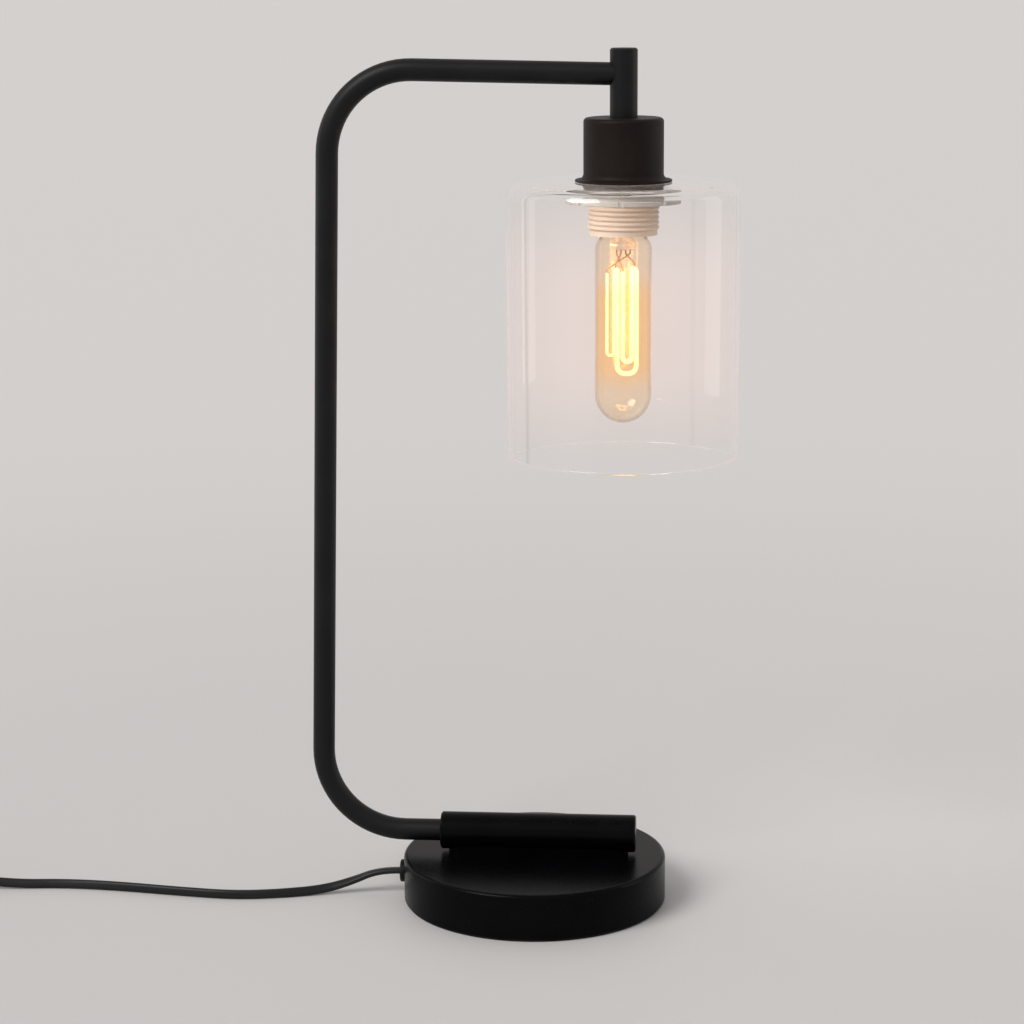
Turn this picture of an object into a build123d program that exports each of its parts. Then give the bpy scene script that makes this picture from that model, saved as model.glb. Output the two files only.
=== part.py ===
from build123d import *
import math
import os

# Industrial table lamp: a weighted round base, a horizontal barrel on it, one bent tube as a C-shaped arm,
# and a head with a cup, a threaded lampholder, a clear glass shade and a tubular bulb.
# Millimetres, +Z up. The origin is the middle of the base's underside on the table, and +X points along
# the barrel towards the shade.

# Base
BASE_D = 145.0
BASE_TOP = 26.0
BASE_WALL = 2.0
BASE_EDGE_R = 2.0
FELT_T = 1.5
FELT_INSET = 1.2
PLATE_T = 2.5
PLATE_GAP = 0.4
WEIGHT_GAP = 6.5
WEIGHT_POCKET_D = 34.0
WEIGHT_ROOF_T = 7.0
WEIGHT_EDGE = 1.5
SLOT_W = 16.0
SLOT_H = 14.5
PLATE_SCREW_PCD = 92.0
PLATE_SCREW_COUNT = 3
PLATE_SCREW_D = 4.0
PLATE_SCREW_LENGTH = 11.0
PLATE_SCREW_HEAD_D = 8.0

# Barrel and arm
BARREL_D = 20.6
BARREL_LENGTH = 108.0
BARREL_X = 2.2
BARREL_GAP = 1.5
BARREL_CHAMFER = 0.8
BARREL_PLUG_LENGTH = 9.0
SPACER_W = 15.0
SPACER_END_INSET = 4.0
TUBE_D = 12.0
TUBE_WALL = 1.5
TUBE_GRIP = 42.0
BEND_R = 45.0
POST_X = -118.0
POST_LEAN = 1.38
ARM_RISE = 415.7
ARM_DROOP = 1.24
SLIDE_FIT = 0.05
SET_SCREW_D = 4.0
SET_SCREW_KEY = 2.0
SET_SCREW_FROM_END = 14.0

# Hollow threaded pipes that hold the base and the head together
PIPE_D = 10.0
PIPE_BORE = 7.0
PIPE_FIT = 0.1
NUT_FLATS = 14.0
NUT_T = 3.0
WASHER_D = 22.0
WASHER_T = 1.0
BASE_PIPE_TAIL = 1.0

# Head
STEM_X = 48.5
STEM_D = 14.6
STEM_ABOVE = 13.5
STEM_BELOW = 22.5
STEM_EDGE = 0.8
STEM_BORE = 8.0
STEM_THREAD_DEPTH = 12.0
TUBE_PAST_AXIS = 2.0
CUP_D = 42.4
CUP_H = 33.5
CUP_WALL = 1.2
CUP_EDGE_R = 2.2
CUP_LIP_D = 51.3
CUP_FLARE_R = 3.2
CUP_LIP_EDGE = 0.45

# Lampholder
SLEEVE_D = 38.0
SLEEVE_ROOT_D = 36.0
SLEEVE_BORE = 33.0
SLEEVE_DROP = 27.5
SLEEVE_RISE = 3.0
SLEEVE_RIM_H = 2.6
THREAD_PITCH = 2.5
THREAD_TURNS = 8
THREAD_CREST = 0.5
DOME_WALL = 2.5
DOME_ROOF_T = 4.0
INSERT_FLANGE_D = 35.0
INSERT_FLANGE_T = 1.5
INSERT_D = 30.0
INSERT_H = 10.0
HOLDER_FIT = 0.15
TERMINAL_SPACING = 18.0
TERMINAL_D = 3.0
TERMINAL_DEPTH = 6.0
TERMINAL_HEAD_D = 5.5
TERMINAL_HEAD_T = 2.2
TERMINAL_SLOT = 0.8
SHELL_BORE = 26.8
SHELL_WALL = 0.6
SHELL_LENGTH = 25.0
CONTACT_D = 9.0
CONTACT_T = 0.8

# Shade and its ring
SHADE_D = 124.0
SHADE_H = 146.0
SHADE_WALL = 3.0
SHADE_SHOULDER_R = 8.0
SHADE_RIM_R = 1.2
SHADE_HOLE_D = 40.0
RING_D = 60.5
RING_BOSS_D = 43.0
RING_BORE = 38.4
RING_FLANGE_T = 4.0
RING_BOSS_H = 3.3
RING_NOTCHES = 8
RING_NOTCH_D = 4.0
RING_EDGE = 0.6
WASHER_SHADE_T = 0.8

# Bulb
BULB_D = 30.0
BULB_LENGTH = 127.0
BULB_GLASS_T = 0.9
BULB_NECK_D = 23.2
BULB_BODY_H = 91.0
BULB_SHOULDER_H = 11.0
BULB_NECK_H = 5.0
BULB_CONTACT_GAP = 0.2
CAP_D = 26.0
CAP_ROOT_D = 24.6
CAP_WALL = 0.5
CAP_PITCH = 3.62
CAP_TURNS = 4
CAP_BAND_H = 4.0
INSULATOR_H = 4.5
INSULATOR_D = 17.0
BUTTON_D = 10.0
BUTTON_T = 1.6
GLASS_STEM_D = 9.0
GLASS_STEM_H = 10.0
PINCH_W = 12.0
PINCH_T = 3.4
PINCH_H = 6.0
WIRE_D = 0.8
WIRE_BEND_R = 1.0
FILAMENT_D = 0.8
SUPPORT_DROP = 12.0
LINK_RISE = 2.0
THIN_HAIRPIN_LIFT = 36.0
MAIN_HAIRPIN_LIFT = 26.0
INNER_HAIRPIN_LIFT = 32.0

# Cord, grommet and the lead inside the lamp
CORD_D = 5.2
CORD_EXIT_Z = 13.5
CORD_ARC_SHARE = 0.45
GROMMET_D = 12.5
GROMMET_FLANGE_T = 2.5
GROMMET_NECK_D = 9.0
GROMMET_INNER_D = 11.5
GROMMET_INNER_T = 2.0
GROMMET_FIT = 0.1
GROMMET_SEAT_GAP = 0.35
LEAD_D = 4.4
LEAD_FIT = 0.2
LEAD_BEND_R = 5.0
LEAD_EASY_R = 20.0
LEAD_DIP_Z = 7.2

# In-line switch
SWITCH_RIGHT_X = -335.0
SWITCH_Y = -9.5
SWITCH_LENGTH = 62.0
SWITCH_W = 25.0
SWITCH_H = 17.0
SWITCH_SPLIT_Z = 6.0
SWITCH_WALL = 2.0
SWITCH_CORNER_R = 9.0
SWITCH_EDGE_R = 2.5
ROCKER_L = 21.0
ROCKER_W = 11.0
ROCKER_FIT = 0.6
ROCKER_TILT = 8.0
ROCKER_PROUD = 0.8
ROCKER_DEPTH = 4.0
EAR_T = 2.5
EAR_L = 7.0
EAR_DROP = 3.0
ROCKER_PIVOT_DROP = 2.0
ROCKER_PIN_D = 2.5
PIN_FIT = 0.05
SWITCH_SCREW_D = 2.5
SWITCH_SCREW_HEAD_D = 4.6
SWITCH_SCREW_HEAD_T = 1.6
SWITCH_SCREW_RECESS = 0.3
SWITCH_SCREW_SPACING = 46.0
SWITCH_POST_D = 7.0
STRIP_L = 26.0
STRIP_W = 3.0
STRIP_T = 1.0
STRIP_SPACING = 10.0

# Put-away coil, its tie and the plug
COIL_X = -450.0
COIL_R = 41.0
COIL_GAP = 0.7
COIL_TURNS = 7.5
COIL_CLIMB_FROM = 3.5
COIL_CLIMB_TO = 4.0
COIL_HEADING_STEP = 0.001
COIL_SAMPLES = 600
PARALLEL_LIMIT = 1e-9
COIL_PARTS_PER_TURN = 4
TIE_T = 0.8
TIE_W = 8.0
TIE_FIT = 0.9
COIL_SEAT = 0.3
TAIL_LENGTH = 32.0
PLUG_W = 35.0
PLUG_T = 13.7
PLUG_FRONT_L = 15.0
PLUG_BACK_L = 23.0
PLUG_NECK_W = 13.0
PLUG_NECK_T = 9.0
PLUG_CORNER_R = 4.0
PLUG_NECK_R = 3.5
PIN_D = 4.0
PIN_L = 19.0
PIN_SEAT = 6.0
PIN_SPACING = 18.6

# Heights and places that follow from the sizes above
barrel_z = BASE_TOP + BARREL_GAP + BARREL_D / 2
arm_z = barrel_z + ARM_RISE
cup_top = arm_z - STEM_BELOW
cup_bottom = cup_top - CUP_H
shade_top = cup_bottom
shade_bottom = shade_top - SHADE_H
plate_top = FELT_T + PLATE_T
weight_top = BASE_TOP - BASE_WALL
weight_d = BASE_D - 2 * (BASE_WALL + WEIGHT_GAP)
pocket_top = weight_top - WEIGHT_ROOF_T
barrel_left = BARREL_X - BARREL_LENGTH / 2
tube_end_x = barrel_left + TUBE_GRIP
nut_top = cup_top - CUP_WALL
dome_top = nut_top - NUT_T
sleeve_top = cup_bottom + SLEEVE_RISE
sleeve_bottom = cup_bottom - SLEEVE_DROP
insert_bottom = sleeve_top - INSERT_FLANGE_T
insert_top = sleeve_top + INSERT_H
contact_bottom = insert_bottom - CONTACT_T
bulb_top = contact_bottom - BULB_CONTACT_GAP
bulb_tip = bulb_top - BULB_LENGTH
glass_under = shade_top - SHADE_WALL
ring_top = glass_under - WASHER_SHADE_T
switch_left_x = SWITCH_RIGHT_X - SWITCH_LENGTH
switch_x = (SWITCH_RIGHT_X + switch_left_x) / 2
base_side_x = -BASE_D / 2
cord_exit_x = base_side_x - GROMMET_FLANGE_T

os.makedirs("parts", exist_ok=True)


def save(piece, label):
    piece.label = label
    export_step(piece, "parts/" + label + ".step")


def ring_profile(x, inner_d, outer_d, low, high):
    """A rectangle in the XZ plane, to be turned about an upright axis at x."""
    with Locations((x + (inner_d + outer_d) / 4, (low + high) / 2)):
        Rectangle((outer_d - inner_d) / 2, high - low)


def upright_axis(x):
    return Axis((x, 0, 0), (0, 0, 1))


# Base shell: a spun steel cup, open below, with a hole for the pipe and one for the grommet
with BuildPart() as base_shell:
    with BuildSketch(Plane.XY.offset(FELT_T)):
        Circle(BASE_D / 2)
    extrude(amount=BASE_TOP - FELT_T)
    fillet(base_shell.edges().group_by(Axis.Z)[-1], BASE_EDGE_R)
    with BuildSketch(Plane.XY.offset(FELT_T)):
        Circle(BASE_D / 2 - BASE_WALL)
    extrude(amount=weight_top - FELT_T, mode=Mode.SUBTRACT)
    with BuildSketch(Plane.XY.offset(weight_top)):
        with Locations((BARREL_X, 0)):
            Circle(PIPE_D / 2 + PIPE_FIT)
    extrude(amount=BASE_WALL, mode=Mode.SUBTRACT)
    with BuildSketch(Plane.YZ.offset(base_side_x - BASE_WALL)):
        with Locations((0, CORD_EXIT_Z)):
            Circle(GROMMET_NECK_D / 2 + GROMMET_FIT)
    extrude(amount=BASE_WALL * 3, mode=Mode.SUBTRACT)
save(base_shell.part, "base_shell")

# Felt pad: the foot that stands on the table
with BuildPart() as felt_pad:
    with BuildSketch():
        Circle(BASE_D / 2 - FELT_INSET)
    extrude(amount=FELT_T)
save(felt_pad.part, "felt_pad")

# Bottom plate inside the shell's rim, countersunk for its screws
with BuildPart() as base_plate:
    with BuildSketch(Plane.XY.offset(FELT_T)):
        Circle(BASE_D / 2 - BASE_WALL - PLATE_GAP)
    extrude(amount=PLATE_T)
    with Locations(Plane((0, 0, FELT_T), x_dir=(1, 0, 0), z_dir=(0, 0, -1))):
        with PolarLocations(PLATE_SCREW_PCD / 2, PLATE_SCREW_COUNT):
            CounterSinkHole(PLATE_SCREW_D / 2 + PIPE_FIT, PLATE_SCREW_HEAD_D / 2 + PIPE_FIT)
save(base_plate.part, "base_plate")

# Cast weight: a disc with a pocket for the nut and the lead, and a slot from there to the grommet
with BuildPart() as base_weight:
    with BuildSketch(Plane.XY.offset(plate_top)):
        Circle(weight_d / 2)
    extrude(amount=weight_top - plate_top)
    chamfer(base_weight.edges().filter_by(GeomType.CIRCLE), WEIGHT_EDGE)
    with BuildSketch(Plane.XY.offset(plate_top)):
        with Locations((BARREL_X, 0)):
            Circle(WEIGHT_POCKET_D / 2)
    extrude(amount=pocket_top - plate_top, mode=Mode.SUBTRACT)
    with BuildSketch(Plane.XY.offset(plate_top)):
        with Locations((BARREL_X - weight_d / 2, 0)):
            Rectangle(weight_d, SLOT_W)
    extrude(amount=SLOT_H, mode=Mode.SUBTRACT)
    with BuildSketch(Plane.XY.offset(pocket_top)):
        with Locations((BARREL_X, 0)):
            Circle(PIPE_D / 2 + PIPE_FIT)
    extrude(amount=WEIGHT_ROOF_T, mode=Mode.SUBTRACT)
    with BuildSketch(Plane.XY.offset(plate_top)):
        with PolarLocations(PLATE_SCREW_PCD / 2, PLATE_SCREW_COUNT):
            Circle(PLATE_SCREW_D / 2 + SLIDE_FIT)
    extrude(amount=PLATE_SCREW_LENGTH, mode=Mode.SUBTRACT)
save(base_weight.part, "base_weight")

# Countersunk screws of the bottom plate
plate_screw_head_h = PLATE_SCREW_HEAD_D / 2 - PLATE_SCREW_D / 2
upwards = (Align.CENTER, Align.CENTER, Align.MIN)
with BuildPart() as base_screws:
    with Locations((0, 0, FELT_T)):
        with PolarLocations(PLATE_SCREW_PCD / 2, PLATE_SCREW_COUNT):
            Cone(PLATE_SCREW_HEAD_D / 2, PLATE_SCREW_D / 2, plate_screw_head_h, align=upwards)
            Cylinder(PLATE_SCREW_D / 2, PLATE_SCREW_LENGTH, align=upwards)
save(base_screws.part, "base_screws")

# Hollow pipe from the barrel down through spacer, shell and weight, with its washer and nut
base_washer_top = pocket_top
base_nut_top = base_washer_top - WASHER_T
base_pipe_low = base_nut_top - NUT_T - BASE_PIPE_TAIL
bore_floor = barrel_z - TUBE_D / 2 - SLIDE_FIT
with BuildPart() as base_nipple:
    with BuildSketch(Plane.XY.offset(base_pipe_low)):
        with Locations((BARREL_X, 0)):
            Circle(PIPE_D / 2)
            Circle(PIPE_BORE / 2, mode=Mode.SUBTRACT)
    extrude(amount=bore_floor - PIPE_FIT - base_pipe_low)
save(base_nipple.part, "base_nipple")

with BuildPart() as base_washer:
    with BuildSketch(Plane.XY.offset(base_nut_top)):
        with Locations((BARREL_X, 0)):
            Circle(WASHER_D / 2)
            Circle(PIPE_D / 2 + PIPE_FIT, mode=Mode.SUBTRACT)
    extrude(amount=WASHER_T)
save(base_washer.part, "base_washer")


def hex_nut(x, top):
    """A thin hexagon nut on the pipe, below the height top."""
    with BuildPart() as nut:
        with BuildSketch(Plane.XY.offset(top - NUT_T)):
            with Locations((x, 0)):
                RegularPolygon(NUT_FLATS / 2, 6, major_radius=False)
                Circle(PIPE_D / 2 + SLIDE_FIT, mode=Mode.SUBTRACT)
        extrude(amount=NUT_T)
    return nut.part


save(hex_nut(BARREL_X, base_nut_top), "base_nut")
save(hex_nut(STEM_X, nut_top), "head_nut")

# Saddle strip under the barrel, cut on top to the barrel's round
with BuildPart() as barrel_spacer:
    with BuildSketch(Plane.XY.offset(BASE_TOP)):
        with Locations((BARREL_X, 0)):
            SlotOverall(BARREL_LENGTH - 2 * SPACER_END_INSET, SPACER_W)
            Circle(PIPE_D / 2 + PIPE_FIT, mode=Mode.SUBTRACT)
    extrude(amount=BARREL_GAP + BARREL_D / 2)
    with BuildSketch(Plane.YZ.offset(barrel_left)):
        with Locations((0, barrel_z)):
            Circle(BARREL_D / 2 + SLIDE_FIT)
    extrude(amount=BARREL_LENGTH, mode=Mode.SUBTRACT)
save(barrel_spacer.part, "barrel_spacer")

# Barrel: a thick sleeve for the tube, with holes for the pipe below and the set screw behind
set_screw_x = barrel_left + SET_SCREW_FROM_END
with BuildPart() as barrel:
    with BuildSketch(Plane.YZ.offset(barrel_left)):
        with Locations((0, barrel_z)):
            Circle(BARREL_D / 2)
    extrude(amount=BARREL_LENGTH)
    chamfer(barrel.edges().filter_by(GeomType.CIRCLE), BARREL_CHAMFER)
    with BuildSketch(Plane.YZ.offset(barrel_left)):
        with Locations((0, barrel_z)):
            Circle(TUBE_D / 2 + SLIDE_FIT)
    extrude(amount=BARREL_LENGTH, mode=Mode.SUBTRACT)
    with BuildSketch(Plane.XY.offset(BASE_TOP)):
        with Locations((BARREL_X, 0)):
            Circle(PIPE_D / 2 + SLIDE_FIT)
    extrude(amount=BARREL_GAP + BARREL_D / 2, mode=Mode.SUBTRACT)
    with BuildSketch(Plane.XZ):
        with Locations((set_screw_x, barrel_z)):
            Circle(SET_SCREW_D / 2 + SLIDE_FIT)
    extrude(amount=-BARREL_D, mode=Mode.SUBTRACT)
save(barrel.part, "barrel")

# Plug that closes the barrel's right end
with BuildPart() as barrel_plug:
    with BuildSketch(Plane.YZ.offset(barrel_left + BARREL_LENGTH - BARREL_PLUG_LENGTH)):
        with Locations((0, barrel_z)):
            Circle(TUBE_D / 2)
    extrude(amount=BARREL_PLUG_LENGTH)
save(barrel_plug.part, "barrel_plug")

# Set screw behind the barrel, with a hexagon socket, that grips the tube
set_screw_tip = TUBE_D / 2
set_screw_length = BARREL_D / 2 - set_screw_tip - BARREL_CHAMFER
with BuildPart() as arm_set_screw:
    with BuildSketch(Plane.XZ.offset(-set_screw_tip)):
        with Locations((set_screw_x, barrel_z)):
            Circle(SET_SCREW_D / 2)
    extrude(amount=-set_screw_length)
    with BuildSketch(Plane.XZ.offset(-set_screw_tip - set_screw_length)):
        with Locations((set_screw_x, barrel_z)):
            RegularPolygon(SET_SCREW_KEY / 2, 6, major_radius=False)
    extrude(amount=set_screw_length / 2, mode=Mode.SUBTRACT)
save(arm_set_screw.part, "arm_set_screw")

# Arm: one tube bent twice, from inside the barrel to just past the stem's axis; the upright leans a little
# towards the shade, and the upper run droops a little towards the stem
lean_slope = math.tan(math.radians(POST_LEAN))
droop_slope = math.tan(math.radians(ARM_DROOP))
post_top_x = (POST_X + lean_slope * (ARM_RISE + STEM_X * droop_slope)) / (1 + lean_slope * droop_slope)
post_top_z = arm_z + (STEM_X - post_top_x) * droop_slope
post_foot = (POST_X, 0, barrel_z)
post_top = (post_top_x, 0, post_top_z)
tube_head = (STEM_X + TUBE_PAST_AXIS, 0, arm_z - TUBE_PAST_AXIS * droop_slope)
with BuildPart() as arm_tube:
    with BuildLine() as arm_path:
        FilletPolyline((tube_end_x, 0, barrel_z), post_foot, post_top, tube_head, radius=BEND_R)
    with BuildSketch(Plane((tube_end_x, 0, barrel_z), z_dir=(-1, 0, 0))):
        Circle(TUBE_D / 2)
        Circle(TUBE_D / 2 - TUBE_WALL, mode=Mode.SUBTRACT)
    sweep(path=arm_path.line)
    with BuildSketch(Plane.XY.offset(arm_z - TUBE_D)):
        with Locations((STEM_X, 0)):
            Circle(STEM_BORE / 2)
    extrude(amount=TUBE_D, mode=Mode.SUBTRACT)
save(arm_tube.part, "arm_tube")

# Stem: the tube's end goes into its side, and the head's pipe into its foot
with BuildPart() as head_stem:
    with BuildSketch(Plane.XY.offset(cup_top)):
        with Locations((STEM_X, 0)):
            Circle(STEM_D / 2)
    extrude(amount=STEM_BELOW + STEM_ABOVE)
    chamfer(head_stem.edges().group_by(Axis.Z)[-1], STEM_EDGE)
    with BuildSketch(Plane.XY.offset(cup_top)):
        with Locations((STEM_X, 0)):
            Circle(PIPE_D / 2 + SLIDE_FIT)
    extrude(amount=STEM_THREAD_DEPTH, mode=Mode.SUBTRACT)
    with BuildSketch(Plane.XY.offset(cup_top)):
        with Locations((STEM_X, 0)):
            Circle(STEM_BORE / 2)
    extrude(amount=STEM_BELOW, mode=Mode.SUBTRACT)
    with BuildSketch(Plane(tube_head, x_dir=(0, 1, 0), z_dir=(-1, 0, droop_slope))):
        Circle(TUBE_D / 2 + SLIDE_FIT)
    extrude(amount=STEM_D + TUBE_PAST_AXIS, mode=Mode.SUBTRACT)
save(head_stem.part, "head_stem")

# Head pipe: joins stem, cup, nut and lampholder
with BuildPart() as head_nipple:
    with BuildSketch(Plane.XY.offset(dome_top - DOME_ROOF_T)):
        with Locations((STEM_X, 0)):
            Circle(PIPE_D / 2)
            Circle(PIPE_BORE / 2, mode=Mode.SUBTRACT)
    extrude(amount=cup_top + STEM_THREAD_DEPTH - PIPE_FIT - (dome_top - DOME_ROOF_T))
save(head_nipple.part, "head_nipple")

# Cup: spun steel with a flared lip, half of its section turned about the stem's axis
cup_r = CUP_D / 2
lip_r = CUP_LIP_D / 2
flare_top = cup_bottom + CUP_WALL + CUP_FLARE_R
with BuildPart() as socket_cup:
    with BuildSketch(Plane.XZ):
        with BuildLine():
            hole_x = STEM_X + PIPE_D / 2 + PIPE_FIT
            Line((hole_x, cup_top), (STEM_X + cup_r, cup_top))
            Line((STEM_X + cup_r, cup_top), (STEM_X + cup_r, flare_top))
            lip_edge = (STEM_X + lip_r, cup_bottom + CUP_WALL)
            flare_end = (STEM_X + cup_r + CUP_FLARE_R, cup_bottom + CUP_WALL)
            TangentArc((STEM_X + cup_r, flare_top), flare_end, tangent=(0, -1))
            Line(flare_end, lip_edge)
            Line(lip_edge, (STEM_X + lip_r, cup_bottom))
            Line((STEM_X + lip_r, cup_bottom), (STEM_X + cup_r - CUP_WALL, cup_bottom))
            Line((STEM_X + cup_r - CUP_WALL, cup_bottom), (STEM_X + cup_r - CUP_WALL, nut_top))
            Line((STEM_X + cup_r - CUP_WALL, nut_top), (hole_x, nut_top))
            Line((hole_x, nut_top), (hole_x, cup_top))
        make_face()
    revolve(axis=upright_axis(STEM_X))
    top_edges = socket_cup.edges().filter_by(GeomType.CIRCLE).group_by(Axis.Z)[-1]
    fillet(top_edges.sort_by(SortBy.RADIUS)[-1], CUP_EDGE_R)
    lip_edges = socket_cup.edges().filter_by(GeomType.CIRCLE).sort_by(SortBy.RADIUS)[-2:]
    fillet(lip_edges, CUP_LIP_EDGE)
save(socket_cup.part, "socket_cup")

# Lampholder dome, inside the cup
dome_rim = sleeve_top
with BuildPart() as lampholder_dome:
    with BuildSketch(Plane.XZ):
        ring_profile(STEM_X, SLEEVE_D - 2 * DOME_WALL, SLEEVE_D, dome_rim, dome_top)
        ring_profile(STEM_X, PIPE_D + 2 * SLIDE_FIT, SLEEVE_D, dome_top - DOME_ROOF_T, dome_top)
    revolve(axis=upright_axis(STEM_X))
    fillet(lampholder_dome.edges().group_by(Axis.Z)[-1].sort_by(SortBy.RADIUS)[-1], DOME_WALL)
save(lampholder_dome.part, "lampholder_dome")

# Threaded sleeve: rounded ridges on its outside, a plain rim below and a seat for the insert above
thread_low = sleeve_bottom + SLEEVE_RIM_H
with BuildPart() as lampholder_sleeve:
    with BuildSketch(Plane.XZ):
        ring_profile(STEM_X, SLEEVE_BORE, SLEEVE_ROOT_D, sleeve_bottom, sleeve_top)
        ring_profile(STEM_X, SLEEVE_BORE, SLEEVE_D, thread_low + THREAD_TURNS * THREAD_PITCH, sleeve_top)
        for turn in range(THREAD_TURNS):
            low = thread_low + turn * THREAD_PITCH
            with BuildLine():
                Polyline(
                    (STEM_X + SLEEVE_BORE / 2, low),
                    (STEM_X + SLEEVE_ROOT_D / 2, low),
                    (STEM_X + SLEEVE_D / 2, low + (THREAD_PITCH - THREAD_CREST) / 2),
                    (STEM_X + SLEEVE_D / 2, low + (THREAD_PITCH + THREAD_CREST) / 2),
                    (STEM_X + SLEEVE_ROOT_D / 2, low + THREAD_PITCH),
                    (STEM_X + SLEEVE_BORE / 2, low + THREAD_PITCH),
                    close=True,
                )
            make_face()
        with Locations((STEM_X + INSERT_FLANGE_D / 4, insert_bottom + INSERT_FLANGE_T / 2)):
            Rectangle(INSERT_FLANGE_D / 2 + HOLDER_FIT, INSERT_FLANGE_T, mode=Mode.SUBTRACT)
    revolve(axis=upright_axis(STEM_X))
save(lampholder_sleeve.part, "lampholder_sleeve")

# Insulating insert, gripped between dome and sleeve, with holes for its terminal screws
with BuildPart() as lampholder_insert:
    with BuildSketch(Plane.XY.offset(insert_bottom)):
        with Locations((STEM_X, 0)):
            Circle(INSERT_FLANGE_D / 2)
    extrude(amount=INSERT_FLANGE_T)
    with BuildSketch(Plane.XY.offset(sleeve_top)):
        with Locations((STEM_X, 0)):
            Circle(INSERT_D / 2)
    extrude(amount=INSERT_H)
    with BuildSketch(Plane.XY.offset(insert_top - TERMINAL_DEPTH)):
        with Locations((STEM_X, 0)):
            with GridLocations(0, TERMINAL_SPACING, 1, 2):
                Circle(TERMINAL_D / 2 + SLIDE_FIT)
    extrude(amount=TERMINAL_DEPTH, mode=Mode.SUBTRACT)
save(lampholder_insert.part, "lampholder_insert")

# Terminal screws on the insert
with BuildPart() as terminal_screws:
    with BuildSketch(Plane.XY.offset(insert_top - TERMINAL_DEPTH)):
        with Locations((STEM_X, 0)):
            with GridLocations(0, TERMINAL_SPACING, 1, 2):
                Circle(TERMINAL_D / 2)
    extrude(amount=TERMINAL_DEPTH)
    with BuildSketch(Plane.XY.offset(insert_top)):
        with Locations((STEM_X, 0)):
            with GridLocations(0, TERMINAL_SPACING, 1, 2):
                Circle(TERMINAL_HEAD_D / 2)
    extrude(amount=TERMINAL_HEAD_T)
    with BuildSketch(Plane.XY.offset(insert_top + TERMINAL_HEAD_T)):
        with Locations((STEM_X, 0)):
            with GridLocations(0, TERMINAL_SPACING, 1, 2):
                Rectangle(TERMINAL_HEAD_D, TERMINAL_SLOT)
    extrude(amount=-TERMINAL_SLOT, mode=Mode.SUBTRACT)
save(terminal_screws.part, "terminal_screws")

# Screw shell and centre contact below the insert
shell_d = SHELL_BORE + 2 * SHELL_WALL
with BuildPart() as screw_shell:
    with BuildSketch(Plane.XZ):
        ring_profile(STEM_X, SHELL_BORE, shell_d, insert_bottom - SHELL_LENGTH, insert_bottom)
    revolve(axis=upright_axis(STEM_X))
save(screw_shell.part, "screw_shell")

with BuildPart() as centre_contact:
    with BuildSketch(Plane.XY.offset(contact_bottom)):
        with Locations((STEM_X, 0)):
            Circle(CONTACT_D / 2)
    extrude(amount=CONTACT_T)
save(centre_contact.part, "centre_contact")

# Shade: a glass cylinder with a holed top, a rounded shoulder and an open foot
shade_r = SHADE_D / 2
inner_shoulder_r = SHADE_SHOULDER_R - SHADE_WALL
with BuildPart() as shade_hollow:
    with BuildSketch(Plane.XY.offset(shade_bottom)):
        with Locations((STEM_X, 0)):
            Circle(shade_r - SHADE_WALL)
    extrude(amount=SHADE_H - SHADE_WALL)
    fillet(shade_hollow.edges().group_by(Axis.Z)[-1], inner_shoulder_r)

with BuildPart() as shade:
    with BuildSketch(Plane.XY.offset(shade_bottom)):
        with Locations((STEM_X, 0)):
            Circle(shade_r)
    extrude(amount=SHADE_H)
    fillet(shade.edges().group_by(Axis.Z)[-1], SHADE_SHOULDER_R)
    add(shade_hollow.part, mode=Mode.SUBTRACT)
    with BuildSketch(Plane.XY.offset(glass_under)):
        with Locations((STEM_X, 0)):
            Circle(SHADE_HOLE_D / 2)
    extrude(amount=SHADE_WALL, mode=Mode.SUBTRACT)
    fillet(shade.edges().group_by(Axis.Z)[0], SHADE_RIM_R)
save(shade.part, "shade")

# Washer and ring that hold the shade up against the cup
with BuildPart() as shade_washer:
    with BuildSketch(Plane.XY.offset(ring_top)):
        with Locations((STEM_X, 0)):
            Circle(RING_BOSS_D / 2)
            Circle(RING_BORE / 2, mode=Mode.SUBTRACT)
    extrude(amount=WASHER_SHADE_T)
save(shade_washer.part, "shade_washer")

ring_flange_top = ring_top - RING_BOSS_H
with BuildPart() as shade_ring:
    with BuildSketch(Plane.XZ):
        ring_profile(STEM_X, RING_BORE, RING_BOSS_D, ring_flange_top, ring_top)
        ring_profile(STEM_X, RING_BORE, RING_D, ring_flange_top - RING_FLANGE_T, ring_flange_top)
    revolve(axis=upright_axis(STEM_X))
    outer_rims = shade_ring.edges().filter_by(GeomType.CIRCLE).sort_by(SortBy.RADIUS)[-2:]
    fillet(outer_rims, RING_EDGE)
    with BuildSketch(Plane.XY.offset(ring_flange_top - RING_FLANGE_T)):
        with Locations((STEM_X, 0)):
            with PolarLocations(RING_D / 2 + RING_NOTCH_D / 4, RING_NOTCHES):
                Circle(RING_NOTCH_D / 2)
    extrude(amount=RING_FLANGE_T, mode=Mode.SUBTRACT)
save(shade_ring.part, "shade_ring")

# Bulb envelope: round tip, straight body, and a shoulder of two arcs up to the neck
body_top = bulb_tip + BULB_BODY_H
neck_low = body_top + BULB_SHOULDER_H
neck_top = neck_low + BULB_NECK_H


def envelope_half(inset):
    """Half of the envelope's outline, from the tip to the neck, moved inwards by inset."""
    body_r = BULB_D / 2 - inset
    neck_r = BULB_NECK_D / 2 - inset
    tip_centre = bulb_tip + BULB_D / 2
    middle = (STEM_X + (body_r + neck_r) / 2, (body_top + neck_low) / 2)
    RadiusArc((STEM_X, tip_centre - body_r), (STEM_X + body_r, tip_centre), -body_r)
    Line((STEM_X + body_r, tip_centre), (STEM_X + body_r, body_top))
    lower = TangentArc((STEM_X + body_r, body_top), middle, tangent=(0, 1))
    TangentArc(middle, (STEM_X + neck_r, neck_low), tangent=lower % 1)
    Line((STEM_X + neck_r, neck_low), (STEM_X + neck_r, neck_top))


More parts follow.
